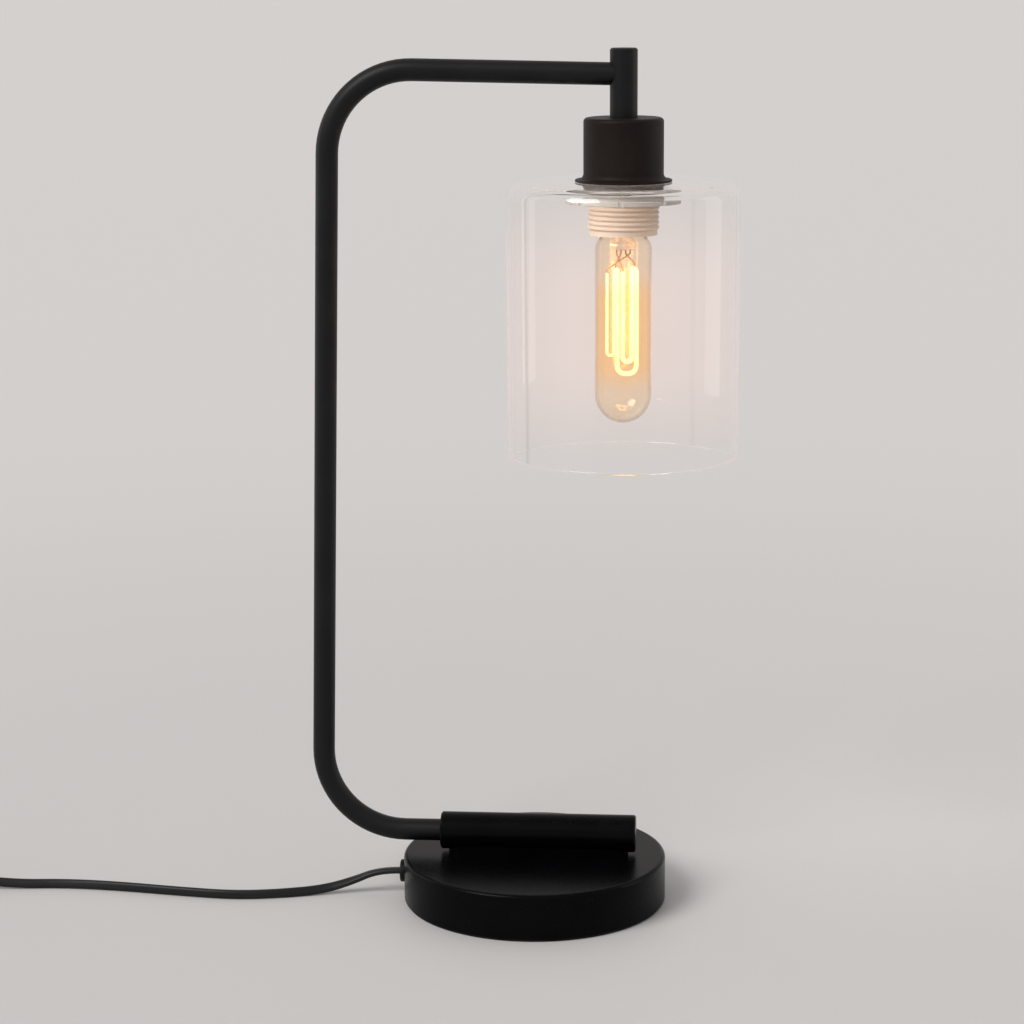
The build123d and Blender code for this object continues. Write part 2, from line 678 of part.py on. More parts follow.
with BuildPart() as bulb_glass:
    with BuildSketch(Plane.XZ):
        with BuildLine():
            envelope_half(0)
            Line((STEM_X, neck_top), (STEM_X + BULB_NECK_D / 2, neck_top))
            Line((STEM_X, bulb_tip), (STEM_X, neck_top))
        make_face()
        with BuildLine():
            envelope_half(BULB_GLASS_T)
            Line((STEM_X, neck_top), (STEM_X + BULB_NECK_D / 2 - BULB_GLASS_T, neck_top))
            Line((STEM_X, bulb_tip + BULB_GLASS_T), (STEM_X, neck_top))
        make_face(mode=Mode.SUBTRACT)
    revolve(axis=upright_axis(STEM_X))
save(bulb_glass.part, "bulb_glass")

# Bulb cap: a thin threaded shell, its insulator and its contact button
cap_top = bulb_top - BUTTON_T - INSULATOR_H
cap_thread_h = CAP_TURNS * CAP_PITCH
cap_low = cap_top - cap_thread_h - CAP_BAND_H
cap_outside_x = STEM_X + CAP_ROOT_D / 2
cap_inside_x = cap_outside_x - CAP_WALL
with BuildPart() as bulb_cap:
    with BuildSketch(Plane.XZ):
        with BuildLine():
            Line((cap_outside_x, cap_low), (cap_outside_x, cap_low + CAP_BAND_H))
            for turn in range(CAP_TURNS):
                low = cap_low + CAP_BAND_H + turn * CAP_PITCH
                ThreePointArc(
                    (cap_outside_x, low),
                    (STEM_X + CAP_D / 2, low + CAP_PITCH / 2),
                    (cap_outside_x, low + CAP_PITCH),
                )
            Line((cap_outside_x, cap_top), (cap_inside_x, cap_top))
            Line((cap_inside_x, cap_top), (cap_inside_x, cap_low))
            Line((cap_inside_x, cap_low), (cap_outside_x, cap_low))
        make_face()
    revolve(axis=upright_axis(STEM_X))
save(bulb_cap.part, "bulb_cap")

with BuildPart() as bulb_insulator:
    with BuildSketch(Plane.XZ):
        with BuildLine():
            Polyline(
                (STEM_X, cap_top),
                (cap_outside_x - CAP_WALL / 2, cap_top),
                (STEM_X + INSULATOR_D / 2, cap_top + INSULATOR_H),
                (STEM_X, cap_top + INSULATOR_H),
                close=True,
            )
        make_face()
    revolve(axis=upright_axis(STEM_X))
save(bulb_insulator.part, "bulb_insulator")

with BuildPart() as bulb_contact:
    with BuildSketch(Plane.XY.offset(bulb_top - BUTTON_T)):
        with Locations((STEM_X, 0)):
            Circle(BUTTON_D / 2)
    extrude(amount=BUTTON_T)
    chamfer(bulb_contact.edges().group_by(Axis.Z)[-1], BUTTON_T / 3)
save(bulb_contact.part, "bulb_contact")

# Glass stem inside the bulb: a flare that closes the neck, a short tube and a flat pinch
flare_foot = neck_top - BULB_SHOULDER_H / 2
pinch_top = neck_top - GLASS_STEM_H
pinch_low = pinch_top - PINCH_H
flare_top_r = BULB_NECK_D / 2 - BULB_GLASS_T - LEAD_FIT
with BuildPart() as bulb_stem:
    with BuildSketch(Plane.XZ):
        with BuildLine():
            Polyline(
                (STEM_X, neck_top),
                (STEM_X + flare_top_r, neck_top),
                (STEM_X + GLASS_STEM_D / 2, flare_foot),
                (STEM_X + GLASS_STEM_D / 2, pinch_top),
                (STEM_X, pinch_top),
                close=True,
            )
        make_face()
    revolve(axis=upright_axis(STEM_X))
    with BuildSketch(Plane.XY.offset(pinch_low)):
        with Locations((STEM_X, 0)):
            RectangleRounded(PINCH_W, PINCH_T, PINCH_T / 3)
    extrude(amount=PINCH_H)
save(bulb_stem.part, "bulb_stem")

# Filament: one wire in three hairpins, hung between the two lead wires; places are from the bulb's axis
filament_top = pinch_low - SUPPORT_DROP
link_z = filament_top + LINK_RISE
thin_low = bulb_tip + THIN_HAIRPIN_LIFT
main_low = bulb_tip + MAIN_HAIRPIN_LIFT
inner_low = bulb_tip + INNER_HAIRPIN_LIFT
filament_points = [
    (-8.4, -3.0, filament_top),
    (-8.4, -3.0, thin_low),
    (-4.8, -3.0, thin_low),
    (-4.8, -3.0, link_z),
    (-3.2, 0.0, link_z),
    (-3.2, 0.0, main_low),
    (7.0, 0.0, main_low),
    (7.0, 0.0, link_z),
    (4.6, 3.4, link_z),
    (4.6, 3.4, inner_low),
    (-0.4, 3.4, inner_low),
    (-0.4, 3.4, filament_top),
]
filament_radii = [1.7, 1.7, 1.4, 1.4, 4.8, 4.8, 1.4, 1.4, 2.4, 2.4]


def round_wire(points, radii, diameter):
    """A round wire along straight runs joined by tangent arcs."""
    with BuildPart() as wire:
        with BuildLine() as path:
            FilletPolyline(*points, radius=radii)
        with BuildSketch(Plane(points[0], z_dir=path.line % 0)):
            Circle(diameter / 2)
        sweep(path=path.line)
    return wire.part


filament_route = [(STEM_X + x, y, z) for x, y, z in filament_points]
save(round_wire(filament_route, filament_radii, FILAMENT_D), "filament")

# Lead and support wires from the pinch: two meet the filament's ends and two stand over its upper links
support_low = link_z + (FILAMENT_D + WIRE_D) / 2
wire_ends = [
    (3.6, filament_points[0]),
    (-3.6, filament_points[-1]),
    (-1.2, (-4.0, -1.5, support_low)),
    (1.2, (5.8, 1.7, support_low)),
]
support_wires = []
for from_x, (to_x, to_y, end_z) in wire_ends:
    wire_route = [
        (STEM_X + from_x, 0, pinch_low),
        (STEM_X + from_x, 0, pinch_low - 2 * WIRE_BEND_R),
        (STEM_X + to_x, to_y, end_z + 2 * WIRE_BEND_R),
        (STEM_X + to_x, to_y, end_z),
    ]
    support_wires.append(round_wire(wire_route, [WIRE_BEND_R, WIRE_BEND_R], WIRE_D))
with BuildPart() as bulb_supports:
    add(support_wires)
save(bulb_supports.part, "bulb_supports")

# Grommet in the base's side
grommet_inside_x = base_side_x + BASE_WALL + GROMMET_SEAT_GAP
with BuildPart() as cord_grommet:
    with BuildSketch(Plane.YZ.offset(cord_exit_x)):
        with Locations((0, CORD_EXIT_Z)):
            Circle(GROMMET_D / 2)
    extrude(amount=GROMMET_FLANGE_T)
    fillet(cord_grommet.edges().group_by(Axis.X)[0], GROMMET_FLANGE_T / 3)
    with BuildSketch(Plane.YZ.offset(base_side_x)):
        with Locations((0, CORD_EXIT_Z)):
            Circle(GROMMET_NECK_D / 2)
    extrude(amount=BASE_WALL + GROMMET_SEAT_GAP)
    with BuildSketch(Plane.YZ.offset(grommet_inside_x)):
        with Locations((0, CORD_EXIT_Z)):
            Circle(GROMMET_INNER_D / 2)
    extrude(amount=GROMMET_INNER_T)
    with BuildSketch(Plane.YZ.offset(cord_exit_x)):
        with Locations((0, CORD_EXIT_Z)):
            Circle(LEAD_D / 2 + LEAD_FIT)
    extrude(amount=GROMMET_FLANGE_T + BASE_WALL + GROMMET_SEAT_GAP + GROMMET_INNER_T, mode=Mode.SUBTRACT)
save(cord_grommet.part, "cord_grommet")

# Lead inside the lamp: grommet, weight's slot, base pipe, barrel, arm, stem, lampholder
slot_middle_x = (base_side_x + BARREL_X) / 2
inner_route = [
    (cord_exit_x, 0, CORD_EXIT_Z),
    (slot_middle_x, 0, CORD_EXIT_Z),
    (BARREL_X - WEIGHT_POCKET_D / 2, 0, LEAD_DIP_Z),
    (BARREL_X, 0, LEAD_DIP_Z),
    (BARREL_X, 0, barrel_z),
    post_foot,
    post_top,
    (STEM_X, 0, arm_z),
    (STEM_X, 0, insert_top),
]
inner_radii = [
    LEAD_EASY_R,
    LEAD_EASY_R,
    LEAD_BEND_R,
    LEAD_BEND_R,
    BEND_R,
    BEND_R,
    LEAD_BEND_R,
]
save(round_wire(inner_route, inner_radii, LEAD_D), "inner_lead")

# Free cord from the grommet over the table to the switch; its points are chosen by hand
lead_route = [
    (cord_exit_x, 0.0, CORD_EXIT_Z),
    (-87.0, 0.0, CORD_EXIT_Z),
    (-103.0, -1.2, 6.8),
    (-119.0, -4.2, CORD_D / 2),
    (-140.0, -11.6, CORD_D / 2),
    (-166.0, -16.4, CORD_D / 2),
    (-200.0, -11.8, CORD_D / 2),
    (-232.0, -6.2, CORD_D / 2),
    (-264.0, -3.2, CORD_D / 2),
    (-292.0, -6.0, CORD_D / 2),
    (-318.0, SWITCH_Y, SWITCH_SPLIT_Z),
    (SWITCH_RIGHT_X, SWITCH_Y, SWITCH_SPLIT_Z),
]


def route_radii(points):
    """One arc for each corner, as large as its share of the shorter run beside it lets it be."""
    radii = []
    for before, corner, after in zip(points, points[1:], points[2:]):
        first = Vector(corner) - Vector(before)
        second = Vector(after) - Vector(corner)
        half_turn = math.radians(first.get_angle(second)) / 2
        radii.append(CORD_ARC_SHARE * min(first.length, second.length) / math.tan(half_turn))
    return radii


lead_radii = route_radii(lead_route)
print("cord lead radii", [round(r, 1) for r in lead_radii])
cord_lead = round_wire(lead_route, lead_radii, CORD_D)
with BuildLine() as lead_path:
    FilletPolyline(*lead_route, radius=lead_radii)
lead_length = lead_path.wires()[0].length
cord_section = math.pi * CORD_D**2 / 4
lead_ratio = cord_lead.volume / cord_section / lead_length
print("cord lead length", round(lead_length, 1), "volume ratio", round(lead_ratio, 4))
save(cord_lead, "cord_lead")


def switch_outline(length, width, corner):
    with Locations((switch_x, SWITCH_Y)):
        RectangleRounded(length, width, corner)


inner_length = SWITCH_LENGTH - 2 * SWITCH_WALL
inner_width = SWITCH_W - 2 * SWITCH_WALL
inner_corner = SWITCH_CORNER_R - SWITCH_WALL

# Switch base: the lower half shell, with posts that take the screws
with BuildPart() as switch_base:
    with BuildSketch():
        switch_outline(SWITCH_LENGTH, SWITCH_W, SWITCH_CORNER_R)
    extrude(amount=SWITCH_SPLIT_Z)
    fillet(switch_base.edges().group_by(Axis.Z)[0], SWITCH_EDGE_R / 2)
    with BuildSketch(Plane.XY.offset(SWITCH_WALL)):
        switch_outline(inner_length, inner_width, inner_corner)
        with Locations((switch_x, SWITCH_Y)):
            with GridLocations(SWITCH_SCREW_SPACING, 0, 2, 1):
                Circle(SWITCH_POST_D / 2, mode=Mode.SUBTRACT)
    extrude(amount=SWITCH_SPLIT_Z - SWITCH_WALL, mode=Mode.SUBTRACT)
    with BuildSketch():
        with Locations((switch_x, SWITCH_Y)):
            with GridLocations(SWITCH_SCREW_SPACING, 0, 2, 1):
                Circle(SWITCH_SCREW_D / 2 + SLIDE_FIT)
    extrude(amount=SWITCH_SPLIT_Z, mode=Mode.SUBTRACT)
    with BuildSketch():
        with Locations((switch_x, SWITCH_Y)):
            with GridLocations(SWITCH_SCREW_SPACING, 0, 2, 1):
                Circle(SWITCH_SCREW_HEAD_D / 2 + PIPE_FIT)
    extrude(amount=SWITCH_SCREW_RECESS + SWITCH_SCREW_HEAD_T, mode=Mode.SUBTRACT)
save(switch_base.part, "switch_base")

# Switch cover: the upper half shell, with the rocker's window, its pin holes and the screw posts
rocker_pivot_z = SWITCH_H - ROCKER_PIVOT_DROP
window_l = ROCKER_L + 2 * ROCKER_FIT
window_w = ROCKER_W + 2 * ROCKER_FIT
ears_out = window_w + 2 * EAR_T
screw_tip_z = SWITCH_H - SWITCH_WALL - SWITCH_EDGE_R
with BuildPart() as switch_cover:
    with BuildSketch(Plane.XY.offset(SWITCH_SPLIT_Z)):
        switch_outline(SWITCH_LENGTH, SWITCH_W, SWITCH_CORNER_R)
    extrude(amount=SWITCH_H - SWITCH_SPLIT_Z)
    fillet(switch_cover.edges().group_by(Axis.Z)[-1], SWITCH_EDGE_R)
    with BuildSketch(Plane.XY.offset(SWITCH_SPLIT_Z)):
        switch_outline(inner_length, inner_width, inner_corner)
        with Locations((switch_x, SWITCH_Y)):
            with GridLocations(SWITCH_SCREW_SPACING, 0, 2, 1):
                Circle(SWITCH_POST_D / 2, mode=Mode.SUBTRACT)
    extrude(amount=SWITCH_H - SWITCH_WALL - SWITCH_SPLIT_Z, mode=Mode.SUBTRACT)
    with BuildSketch(Plane.XY.offset(SWITCH_SPLIT_Z)):
        with Locations((switch_x, SWITCH_Y)):
            with GridLocations(SWITCH_SCREW_SPACING, 0, 2, 1):
                Circle(SWITCH_SCREW_D / 2 + SLIDE_FIT)
    extrude(amount=screw_tip_z - SWITCH_SPLIT_Z, mode=Mode.SUBTRACT)
    with BuildSketch(Plane.XY.offset(SWITCH_H - SWITCH_WALL - EAR_DROP)):
        with Locations((switch_x, SWITCH_Y)):
            Rectangle(EAR_L, ears_out)
    extrude(amount=EAR_DROP + SWITCH_WALL / 2)
    with BuildSketch(Plane.XY.offset(SWITCH_H - SWITCH_WALL - EAR_DROP)):
        with Locations((switch_x, SWITCH_Y)):
            Rectangle(window_l, window_w)
    extrude(amount=EAR_DROP + SWITCH_WALL, mode=Mode.SUBTRACT)
    with BuildSketch(Plane.XZ.offset(-SWITCH_Y - ears_out / 2)):
        with Locations((switch_x, rocker_pivot_z)):
            Circle(ROCKER_PIN_D / 2 + PIN_FIT)
    extrude(amount=ears_out, mode=Mode.SUBTRACT)
save(switch_cover.part, "switch_cover")

# Pin that the rocker turns on, held in the cover's ears
with BuildPart() as switch_pin:
    with BuildSketch(Plane.XZ.offset(-SWITCH_Y - ears_out / 2)):
        with Locations((switch_x, rocker_pivot_z)):
            Circle(ROCKER_PIN_D / 2)
    extrude(amount=ears_out)
save(switch_pin.part, "switch_pin")

# Rocker: a shallow V on top, tilted to its rest at one stop, so that one half lies level
tilt = math.radians(ROCKER_TILT)
half_rocker = ROCKER_L / 2
valley = ROCKER_PIVOT_DROP + ROCKER_PROUD
crest = valley + half_rocker * math.tan(tilt)
tilted = (math.cos(tilt), 0, math.sin(tilt))
rocker_plane = Plane((switch_x, SWITCH_Y, rocker_pivot_z), x_dir=tilted, z_dir=(0, -1, 0))
with BuildPart() as switch_rocker:
    with BuildSketch(rocker_plane):
        with BuildLine():
            Polyline(
                (-half_rocker, -ROCKER_DEPTH),
                (half_rocker, -ROCKER_DEPTH),
                (half_rocker, crest),
                (0, valley),
                (-half_rocker, crest),
                close=True,
            )
        make_face()
        Circle(ROCKER_PIN_D / 2 + PIN_FIT, mode=Mode.SUBTRACT)
    extrude(amount=ROCKER_W / 2, both=True)
save(switch_rocker.part, "switch_rocker")

# Screws that hold the two halves of the switch, put in from below
with BuildPart() as switch_screws:
    with BuildSketch(Plane.XY.offset(SWITCH_SCREW_RECESS)):
        with Locations((switch_x, SWITCH_Y)):
            with GridLocations(SWITCH_SCREW_SPACING, 0, 2, 1):
                Circle(SWITCH_SCREW_HEAD_D / 2)
    extrude(amount=SWITCH_SCREW_HEAD_T)
    with BuildSketch(Plane.XY.offset(SWITCH_SCREW_RECESS)):
        with Locations((switch_x, SWITCH_Y)):
            with GridLocations(SWITCH_SCREW_SPACING, 0, 2, 1):
                Circle(SWITCH_SCREW_D / 2)
    extrude(amount=screw_tip_z - SWITCH_SCREW_RECESS)
save(switch_screws.part, "switch_screws")

# Contact strips on the floor of the switch
with BuildPart() as switch_contacts:
    with BuildSketch(Plane.XY.offset(SWITCH_WALL)):
        with Locations((switch_x, SWITCH_Y)):
            with GridLocations(0, STRIP_SPACING, 1, 2):
                Rectangle(STRIP_L, STRIP_W)
    extrude(amount=STRIP_T)
save(switch_contacts.part, "switch_contacts")

# Put-away coil: from the switch it spirals in on the lower layer, climbs, and spirals out to the plug
coil_y = SWITCH_Y + COIL_R
coil_step = CORD_D + COIL_GAP
coil_low_z = TIE_T + COIL_SEAT + CORD_D / 2
coil_high_z = coil_low_z + coil_step
plug_z = PLUG_T / 2


def coil_point(turn):
    """A place on the coil, counted in turns from where the cord joins it."""
    radius = COIL_R - coil_step * min(turn, COIL_TURNS - turn)
    angle = -math.pi / 2 - 2 * math.pi * turn
    climbed = min(max((turn - COIL_CLIMB_FROM) / (COIL_CLIMB_TO - COIL_CLIMB_FROM), 0), 1)
    z = coil_low_z + coil_step * climbed**2 * (3 - 2 * climbed)
    return Vector(COIL_X + radius * math.cos(angle), coil_y + radius * math.sin(angle), z)


def coil_heading(turn):
    """The direction of the coil there, from two places close by on each side."""
    before = coil_point(max(turn - COIL_HEADING_STEP, 0))
    after = coil_point(min(turn + COIL_HEADING_STEP, COIL_TURNS))
    return (after - before).normalized()


def biarc(start, start_heading, end, end_heading):
    """Two arcs, tangent to each other and to the given headings."""
    span = end - start
    sum_headings = start_heading + end_heading
    spread = 2 * (1 - start_heading.dot(end_heading))
    along = span.dot(sum_headings)
    if spread < PARALLEL_LIMIT:
        reach = span.dot(span) / (4 * span.dot(end_heading))
    else:
        reach = (math.sqrt(along**2 + spread * span.dot(span)) - along) / spread
    joint = (start + end + (start_heading - end_heading) * reach) * 0.5
    joint_heading = (end - end_heading * reach) - (start + start_heading * reach)
    TangentArc(start, joint, tangent=start_heading)
    TangentArc(joint, end, tangent=joint_heading)


left = Vector(-1, 0, 0)
right = Vector(1, 0, 0)
part_turn = 1 / COIL_PARTS_PER_TURN
coil_start = Vector(switch_left_x, SWITCH_Y, SWITCH_SPLIT_Z)
link_start = coil_start + left * CORD_D
plug_x = COIL_X + TAIL_LENGTH
tail_y = coil_y + COIL_R
coil_end = Vector(plug_x, tail_y, plug_z)
tail_end = coil_end - right * CORD_D
coil_parts = round(COIL_TURNS * COIL_PARTS_PER_TURN)
with BuildPart() as cord_coil:
    with BuildLine() as coil_path:
        Line(coil_start, link_start)
        biarc(link_start, left, coil_point(0), left)
        for part in range(coil_parts):
            here = part * part_turn
            there = here + part_turn
            heading_here = left if part == 0 else coil_heading(here)
            heading_there = right if part == coil_parts - 1 else coil_heading(there)
            biarc(coil_point(here), heading_here, coil_point(there), heading_there)
        biarc(coil_point(COIL_TURNS), right, tail_end, right)
        Line(tail_end, coil_end)
    with BuildSketch(Plane(coil_start, z_dir=left)):
        Circle(CORD_D / 2)
    sweep(path=coil_path.line)
save(cord_coil.part, "cord_coil")

coil_length = coil_path.wires()[0].length
coil_ratio = cord_coil.part.volume / cord_section / coil_length
print("cord coil length", round(coil_length, 1), "volume ratio", round(coil_ratio, 4))
print("whole cord", round(lead_length + SWITCH_LENGTH + coil_length, 1))

# Least gap of the coil to itself, on points along it that are more than half a turn apart
samples = [coil_point(COIL_TURNS * i / COIL_SAMPLES) for i in range(COIL_SAMPLES + 1)]
half_turn_steps = round(COIL_SAMPLES / COIL_TURNS / 2)
least = min(
    (samples[i] - samples[j]).length
    for i in range(len(samples))
    for j in range(i + half_turn_steps, len(samples))
)
print("coil's least gap to itself", round(least - CORD_D, 2))

# Tie: a flat strap round all the coil's turns, on the side away from the lamp
quarter_turn = 1 / 4
tie_outer_r = COIL_R - coil_step * quarter_turn + CORD_D / 2 + TIE_FIT
tie_inner_r = COIL_R - coil_step * (COIL_CLIMB_FROM - quarter_turn) - CORD_D / 2 - TIE_FIT
tie_top = coil_high_z + CORD_D / 2 + COIL_SEAT
tie_middle = (COIL_X - (tie_outer_r + tie_inner_r) / 2, (TIE_T + tie_top) / 2)
with BuildPart() as cord_tie:
    with BuildSketch(Plane.XZ.offset(-coil_y)):
        with Locations(tie_middle):
            Rectangle(tie_outer_r - tie_inner_r + 2 * TIE_T, tie_top + TIE_T)
            Rectangle(tie_outer_r - tie_inner_r, tie_top - TIE_T, mode=Mode.SUBTRACT)
    extrude(amount=TIE_W / 2, both=True)
save(cord_tie.part, "cord_tie")

# Plug: a flat body that narrows to the cord, and two round pins
plug_front_x = plug_x + PLUG_BACK_L
plug_face_x = plug_front_x + PLUG_FRONT_L
with BuildPart() as plug_body:
    with BuildSketch(Plane.YZ.offset(plug_x)):
        with Locations((tail_y, plug_z)):
            RectangleRounded(PLUG_NECK_W, PLUG_NECK_T, PLUG_NECK_R)
    with BuildSketch(Plane.YZ.offset(plug_front_x)):
        with Locations((tail_y, plug_z)):
            RectangleRounded(PLUG_W, PLUG_T, PLUG_CORNER_R)
    loft()
    with BuildSketch(Plane.YZ.offset(plug_front_x)):
        with Locations((tail_y, plug_z)):
            RectangleRounded(PLUG_W, PLUG_T, PLUG_CORNER_R)
    extrude(amount=PLUG_FRONT_L)
    with BuildSketch(Plane.YZ.offset(plug_face_x - PIN_SEAT)):
        with Locations((tail_y, plug_z)):
            with GridLocations(PIN_SPACING, 0, 2, 1):
                Circle(PIN_D / 2 + SLIDE_FIT)
    extrude(amount=PIN_SEAT, mode=Mode.SUBTRACT)
save(plug_body.part, "plug_body")

with BuildPart() as plug_pins:
    with BuildSketch(Plane.YZ.offset(plug_face_x - PIN_SEAT)):
        with Locations((tail_y, plug_z)):
            with GridLocations(PIN_SPACING, 0, 2, 1):
                Circle(PIN_D / 2)
    extrude(amount=PIN_SEAT + PIN_L)
    fillet(plug_pins.edges().group_by(Axis.X)[-1], PIN_D / 3)
save(plug_pins.part, "plug_pins")
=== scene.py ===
import math

import bmesh
import bpy
from mathutils import Matrix, Vector


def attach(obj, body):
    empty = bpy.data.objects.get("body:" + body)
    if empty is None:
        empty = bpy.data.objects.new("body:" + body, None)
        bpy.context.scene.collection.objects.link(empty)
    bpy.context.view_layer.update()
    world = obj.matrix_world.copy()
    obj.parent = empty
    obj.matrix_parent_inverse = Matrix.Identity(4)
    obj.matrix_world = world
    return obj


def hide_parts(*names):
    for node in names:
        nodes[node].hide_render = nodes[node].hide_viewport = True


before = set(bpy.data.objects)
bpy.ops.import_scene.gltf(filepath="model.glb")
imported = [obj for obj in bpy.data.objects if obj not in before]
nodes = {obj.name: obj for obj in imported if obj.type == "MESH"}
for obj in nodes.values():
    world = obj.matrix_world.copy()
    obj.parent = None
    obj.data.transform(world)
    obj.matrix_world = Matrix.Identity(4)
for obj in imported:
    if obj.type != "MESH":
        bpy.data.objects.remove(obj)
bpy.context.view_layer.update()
scene = bpy.context.scene
scene.view_settings.view_transform = "Standard"

# Glass rims pass light on many times before it leaves them
GLASS_BOUNCES = 96
scene.cycles.max_bounces = GLASS_BOUNCES
scene.cycles.transmission_bounces = GLASS_BOUNCES
scene.cycles.glossy_bounces = GLASS_BOUNCES

# Camera at the photograph's angle; the picture is 1024 pixels wide and high
PICTURE = 1024
SENSOR = 36.0
FOCAL_PX = 2744.976
CAMERA_PLACE = (0.109721, -1.451547, 0.522424)
CAMERA_YAW = math.radians(-4.773)
CAMERA_PITCH = math.radians(11.772)
CAMERA_ROLL = math.radians(-0.327)
FARTHEST_SEEN = 50

forward = Vector((
    math.sin(CAMERA_YAW) * math.cos(CAMERA_PITCH),
    math.cos(CAMERA_YAW) * math.cos(CAMERA_PITCH),
    -math.sin(CAMERA_PITCH),
))
level_right = Vector((math.cos(CAMERA_YAW), -math.sin(CAMERA_YAW), 0))
level_up = level_right.cross(forward)
right = math.cos(CAMERA_ROLL) * level_right + math.sin(CAMERA_ROLL) * level_up
up = -math.sin(CAMERA_ROLL) * level_right + math.cos(CAMERA_ROLL) * level_up
camera = bpy.data.objects.new("camera", bpy.data.cameras.new("camera"))
camera.data.sensor_width = SENSOR
camera.data.lens = FOCAL_PX * SENSOR / PICTURE
camera.data.clip_end = FARTHEST_SEEN
turn = Matrix((right, up, -forward)).transposed().to_4x4()
camera.matrix_world = Matrix.Translation(CAMERA_PLACE) @ turn
scene.collection.objects.link(camera)
scene.camera = camera


# Materials
def material(name):
    """A new material with its Principled shader; returns (material, node tree, shader)."""
    made = bpy.data.materials.new(name)
    made.use_nodes = True
    tree = made.node_tree
    return made, tree, tree.nodes["Principled BSDF"]


def noise(tree, scale, detail=2.0, rough=0.5, stretch=None):
    """Noise over the object's own coordinates, in metres."""
    place = tree.nodes.new("ShaderNodeTexCoord")
    made = tree.nodes.new("ShaderNodeTexNoise")
    made.inputs["Scale"].default_value = scale
    made.inputs["Detail"].default_value = detail
    made.inputs["Roughness"].default_value = rough
    source = place.outputs["Object"]
    if stretch:
        mapping = tree.nodes.new("ShaderNodeMapping")
        mapping.inputs["Scale"].default_value = stretch
        tree.links.new(source, mapping.inputs["Vector"])
        source = mapping.outputs["Vector"]
    tree.links.new(source, made.inputs["Vector"])
    return made.outputs["Fac"]


def ramp(tree, fac, low, high, start=0.35, end=0.65):
    """Colours between low and high, by a factor."""
    made = tree.nodes.new("ShaderNodeValToRGB")
    made.color_ramp.elements[0].position = start
    made.color_ramp.elements[0].color = (*low, 1)
    made.color_ramp.elements[1].position = end
    made.color_ramp.elements[1].color = (*high, 1)
    tree.links.new(fac, made.inputs["Fac"])
    return made.outputs["Color"]


def spread(tree, fac, low, high, start=0.3, end=0.7):
    """A number between low and high, by a factor."""
    made = tree.nodes.new("ShaderNodeMapRange")
    made.inputs["From Min"].default_value = start
    made.inputs["From Max"].default_value = end
    made.inputs["To Min"].default_value = low
    made.inputs["To Max"].default_value = high
    tree.links.new(fac, made.inputs["Value"])
    return made.outputs["Result"]


def bump(tree, shader, height, distance):
    """Tilts a shader's surface by a height, as deep as distance in metres."""
    made = tree.nodes.new("ShaderNodeBump")
    made.inputs["Distance"].default_value = distance
    made.inputs["Strength"].default_value = 1.0
    tree.links.new(height, made.inputs["Height"])
    tree.links.new(made.outputs["Normal"], shader.inputs["Normal"])


# Noise scales are per metre, and depths are in metres
CLOUD_SCALE = 45
LINE_SCALE = 900
COAT_GLOSS_SPREAD = 0.05
LINE_GLOSS_SPREAD = 0.06
LINE_DEPTH = 0.00002


def coated(name, low, high, rough, grain, depth, specular=0.5, metallic=0.0):
    """A grained surface: two close colours, uneven gloss and a fine bump."""
    made, tree, shader = material(name)
    cloud = noise(tree, CLOUD_SCALE, detail=3)
    fine = noise(tree, grain, detail=3, rough=0.6)
    gloss = spread(tree, fine, rough - COAT_GLOSS_SPREAD, rough + COAT_GLOSS_SPREAD)
    tree.links.new(ramp(tree, cloud, low, high), shader.inputs["Base Color"])
    tree.links.new(gloss, shader.inputs["Roughness"])
    shader.inputs["Specular IOR Level"].default_value = specular
    shader.inputs["Metallic"].default_value = metallic
    bump(tree, shader, fine, depth)
    return made


def brushed(name, low, high, rough, stretch):
    """Metal with fine lines along one way."""
    made, tree, shader = material(name)
    lines = noise(tree, LINE_SCALE, detail=3, rough=0.6, stretch=stretch)
    gloss = spread(tree, lines, rough - LINE_GLOSS_SPREAD, rough + LINE_GLOSS_SPREAD)
    tree.links.new(ramp(tree, lines, low, high), shader.inputs["Base Color"])
    tree.links.new(gloss, shader.inputs["Roughness"])
    shader.inputs["Metallic"].default_value = 1.0
    bump(tree, shader, lines, LINE_DEPTH)
    return made


def glass(name, colour, index, wave_scale, wave_depth):
    """Clear glass with a slight wave in its surface."""
    made, tree, shader = material(name)
    shader.inputs["Base Color"].default_value = (*colour, 1)
    shader.inputs["Transmission Weight"].default_value = 1.0
    shader.inputs["Roughness"].default_value = 0.0
    shader.inputs["IOR"].default_value = index
    bump(tree, shader, noise(tree, wave_scale, detail=1), wave_depth)
    return made


# Painted, moulded and rough finishes
black_coat = coated(
    "black_powder_coat", (0.0032, 0.0032, 0.0038), (0.0052, 0.0052, 0.0058),
    rough=0.44, grain=2200, depth=0.00003, specular=0.2,
)
# Painted shade: the base and barrel take a darker, less glossy copy of the same black coat
base_coat_painted_darker = coated(
    "base_powder_coat_painted_darker", (0.0008, 0.0008, 0.0012), (0.0016, 0.0016, 0.0022),
    rough=0.27, grain=2200, depth=0.00002, specular=0.06,
)
cup_coat = coated(
    "cup_powder_coat", (0.009, 0.0054, 0.0044), (0.0116, 0.0072, 0.0058),
    rough=0.5, grain=2200, depth=0.00003, specular=0.12,
)
felt = coated(
    "felt", (0.012, 0.012, 0.013), (0.03, 0.03, 0.032),
    rough=0.92, grain=1500, depth=0.0003, specular=0.1,
)
iron = coated(
    "cast_iron", (0.05, 0.05, 0.05), (0.09, 0.088, 0.085),
    rough=0.7, grain=700, depth=0.0002, specular=0.4, metallic=0.6,
)
rubber = coated(
    "rubber", (0.003, 0.003, 0.0034), (0.005, 0.005, 0.0055),
    rough=0.5, grain=1800, depth=0.00003, specular=0.2,
)
cord_skin = coated(
    "cord_plastic", (0.0045, 0.0048, 0.0055), (0.0075, 0.008, 0.009),
    rough=0.4, grain=1200, depth=0.00002, specular=0.3,
)
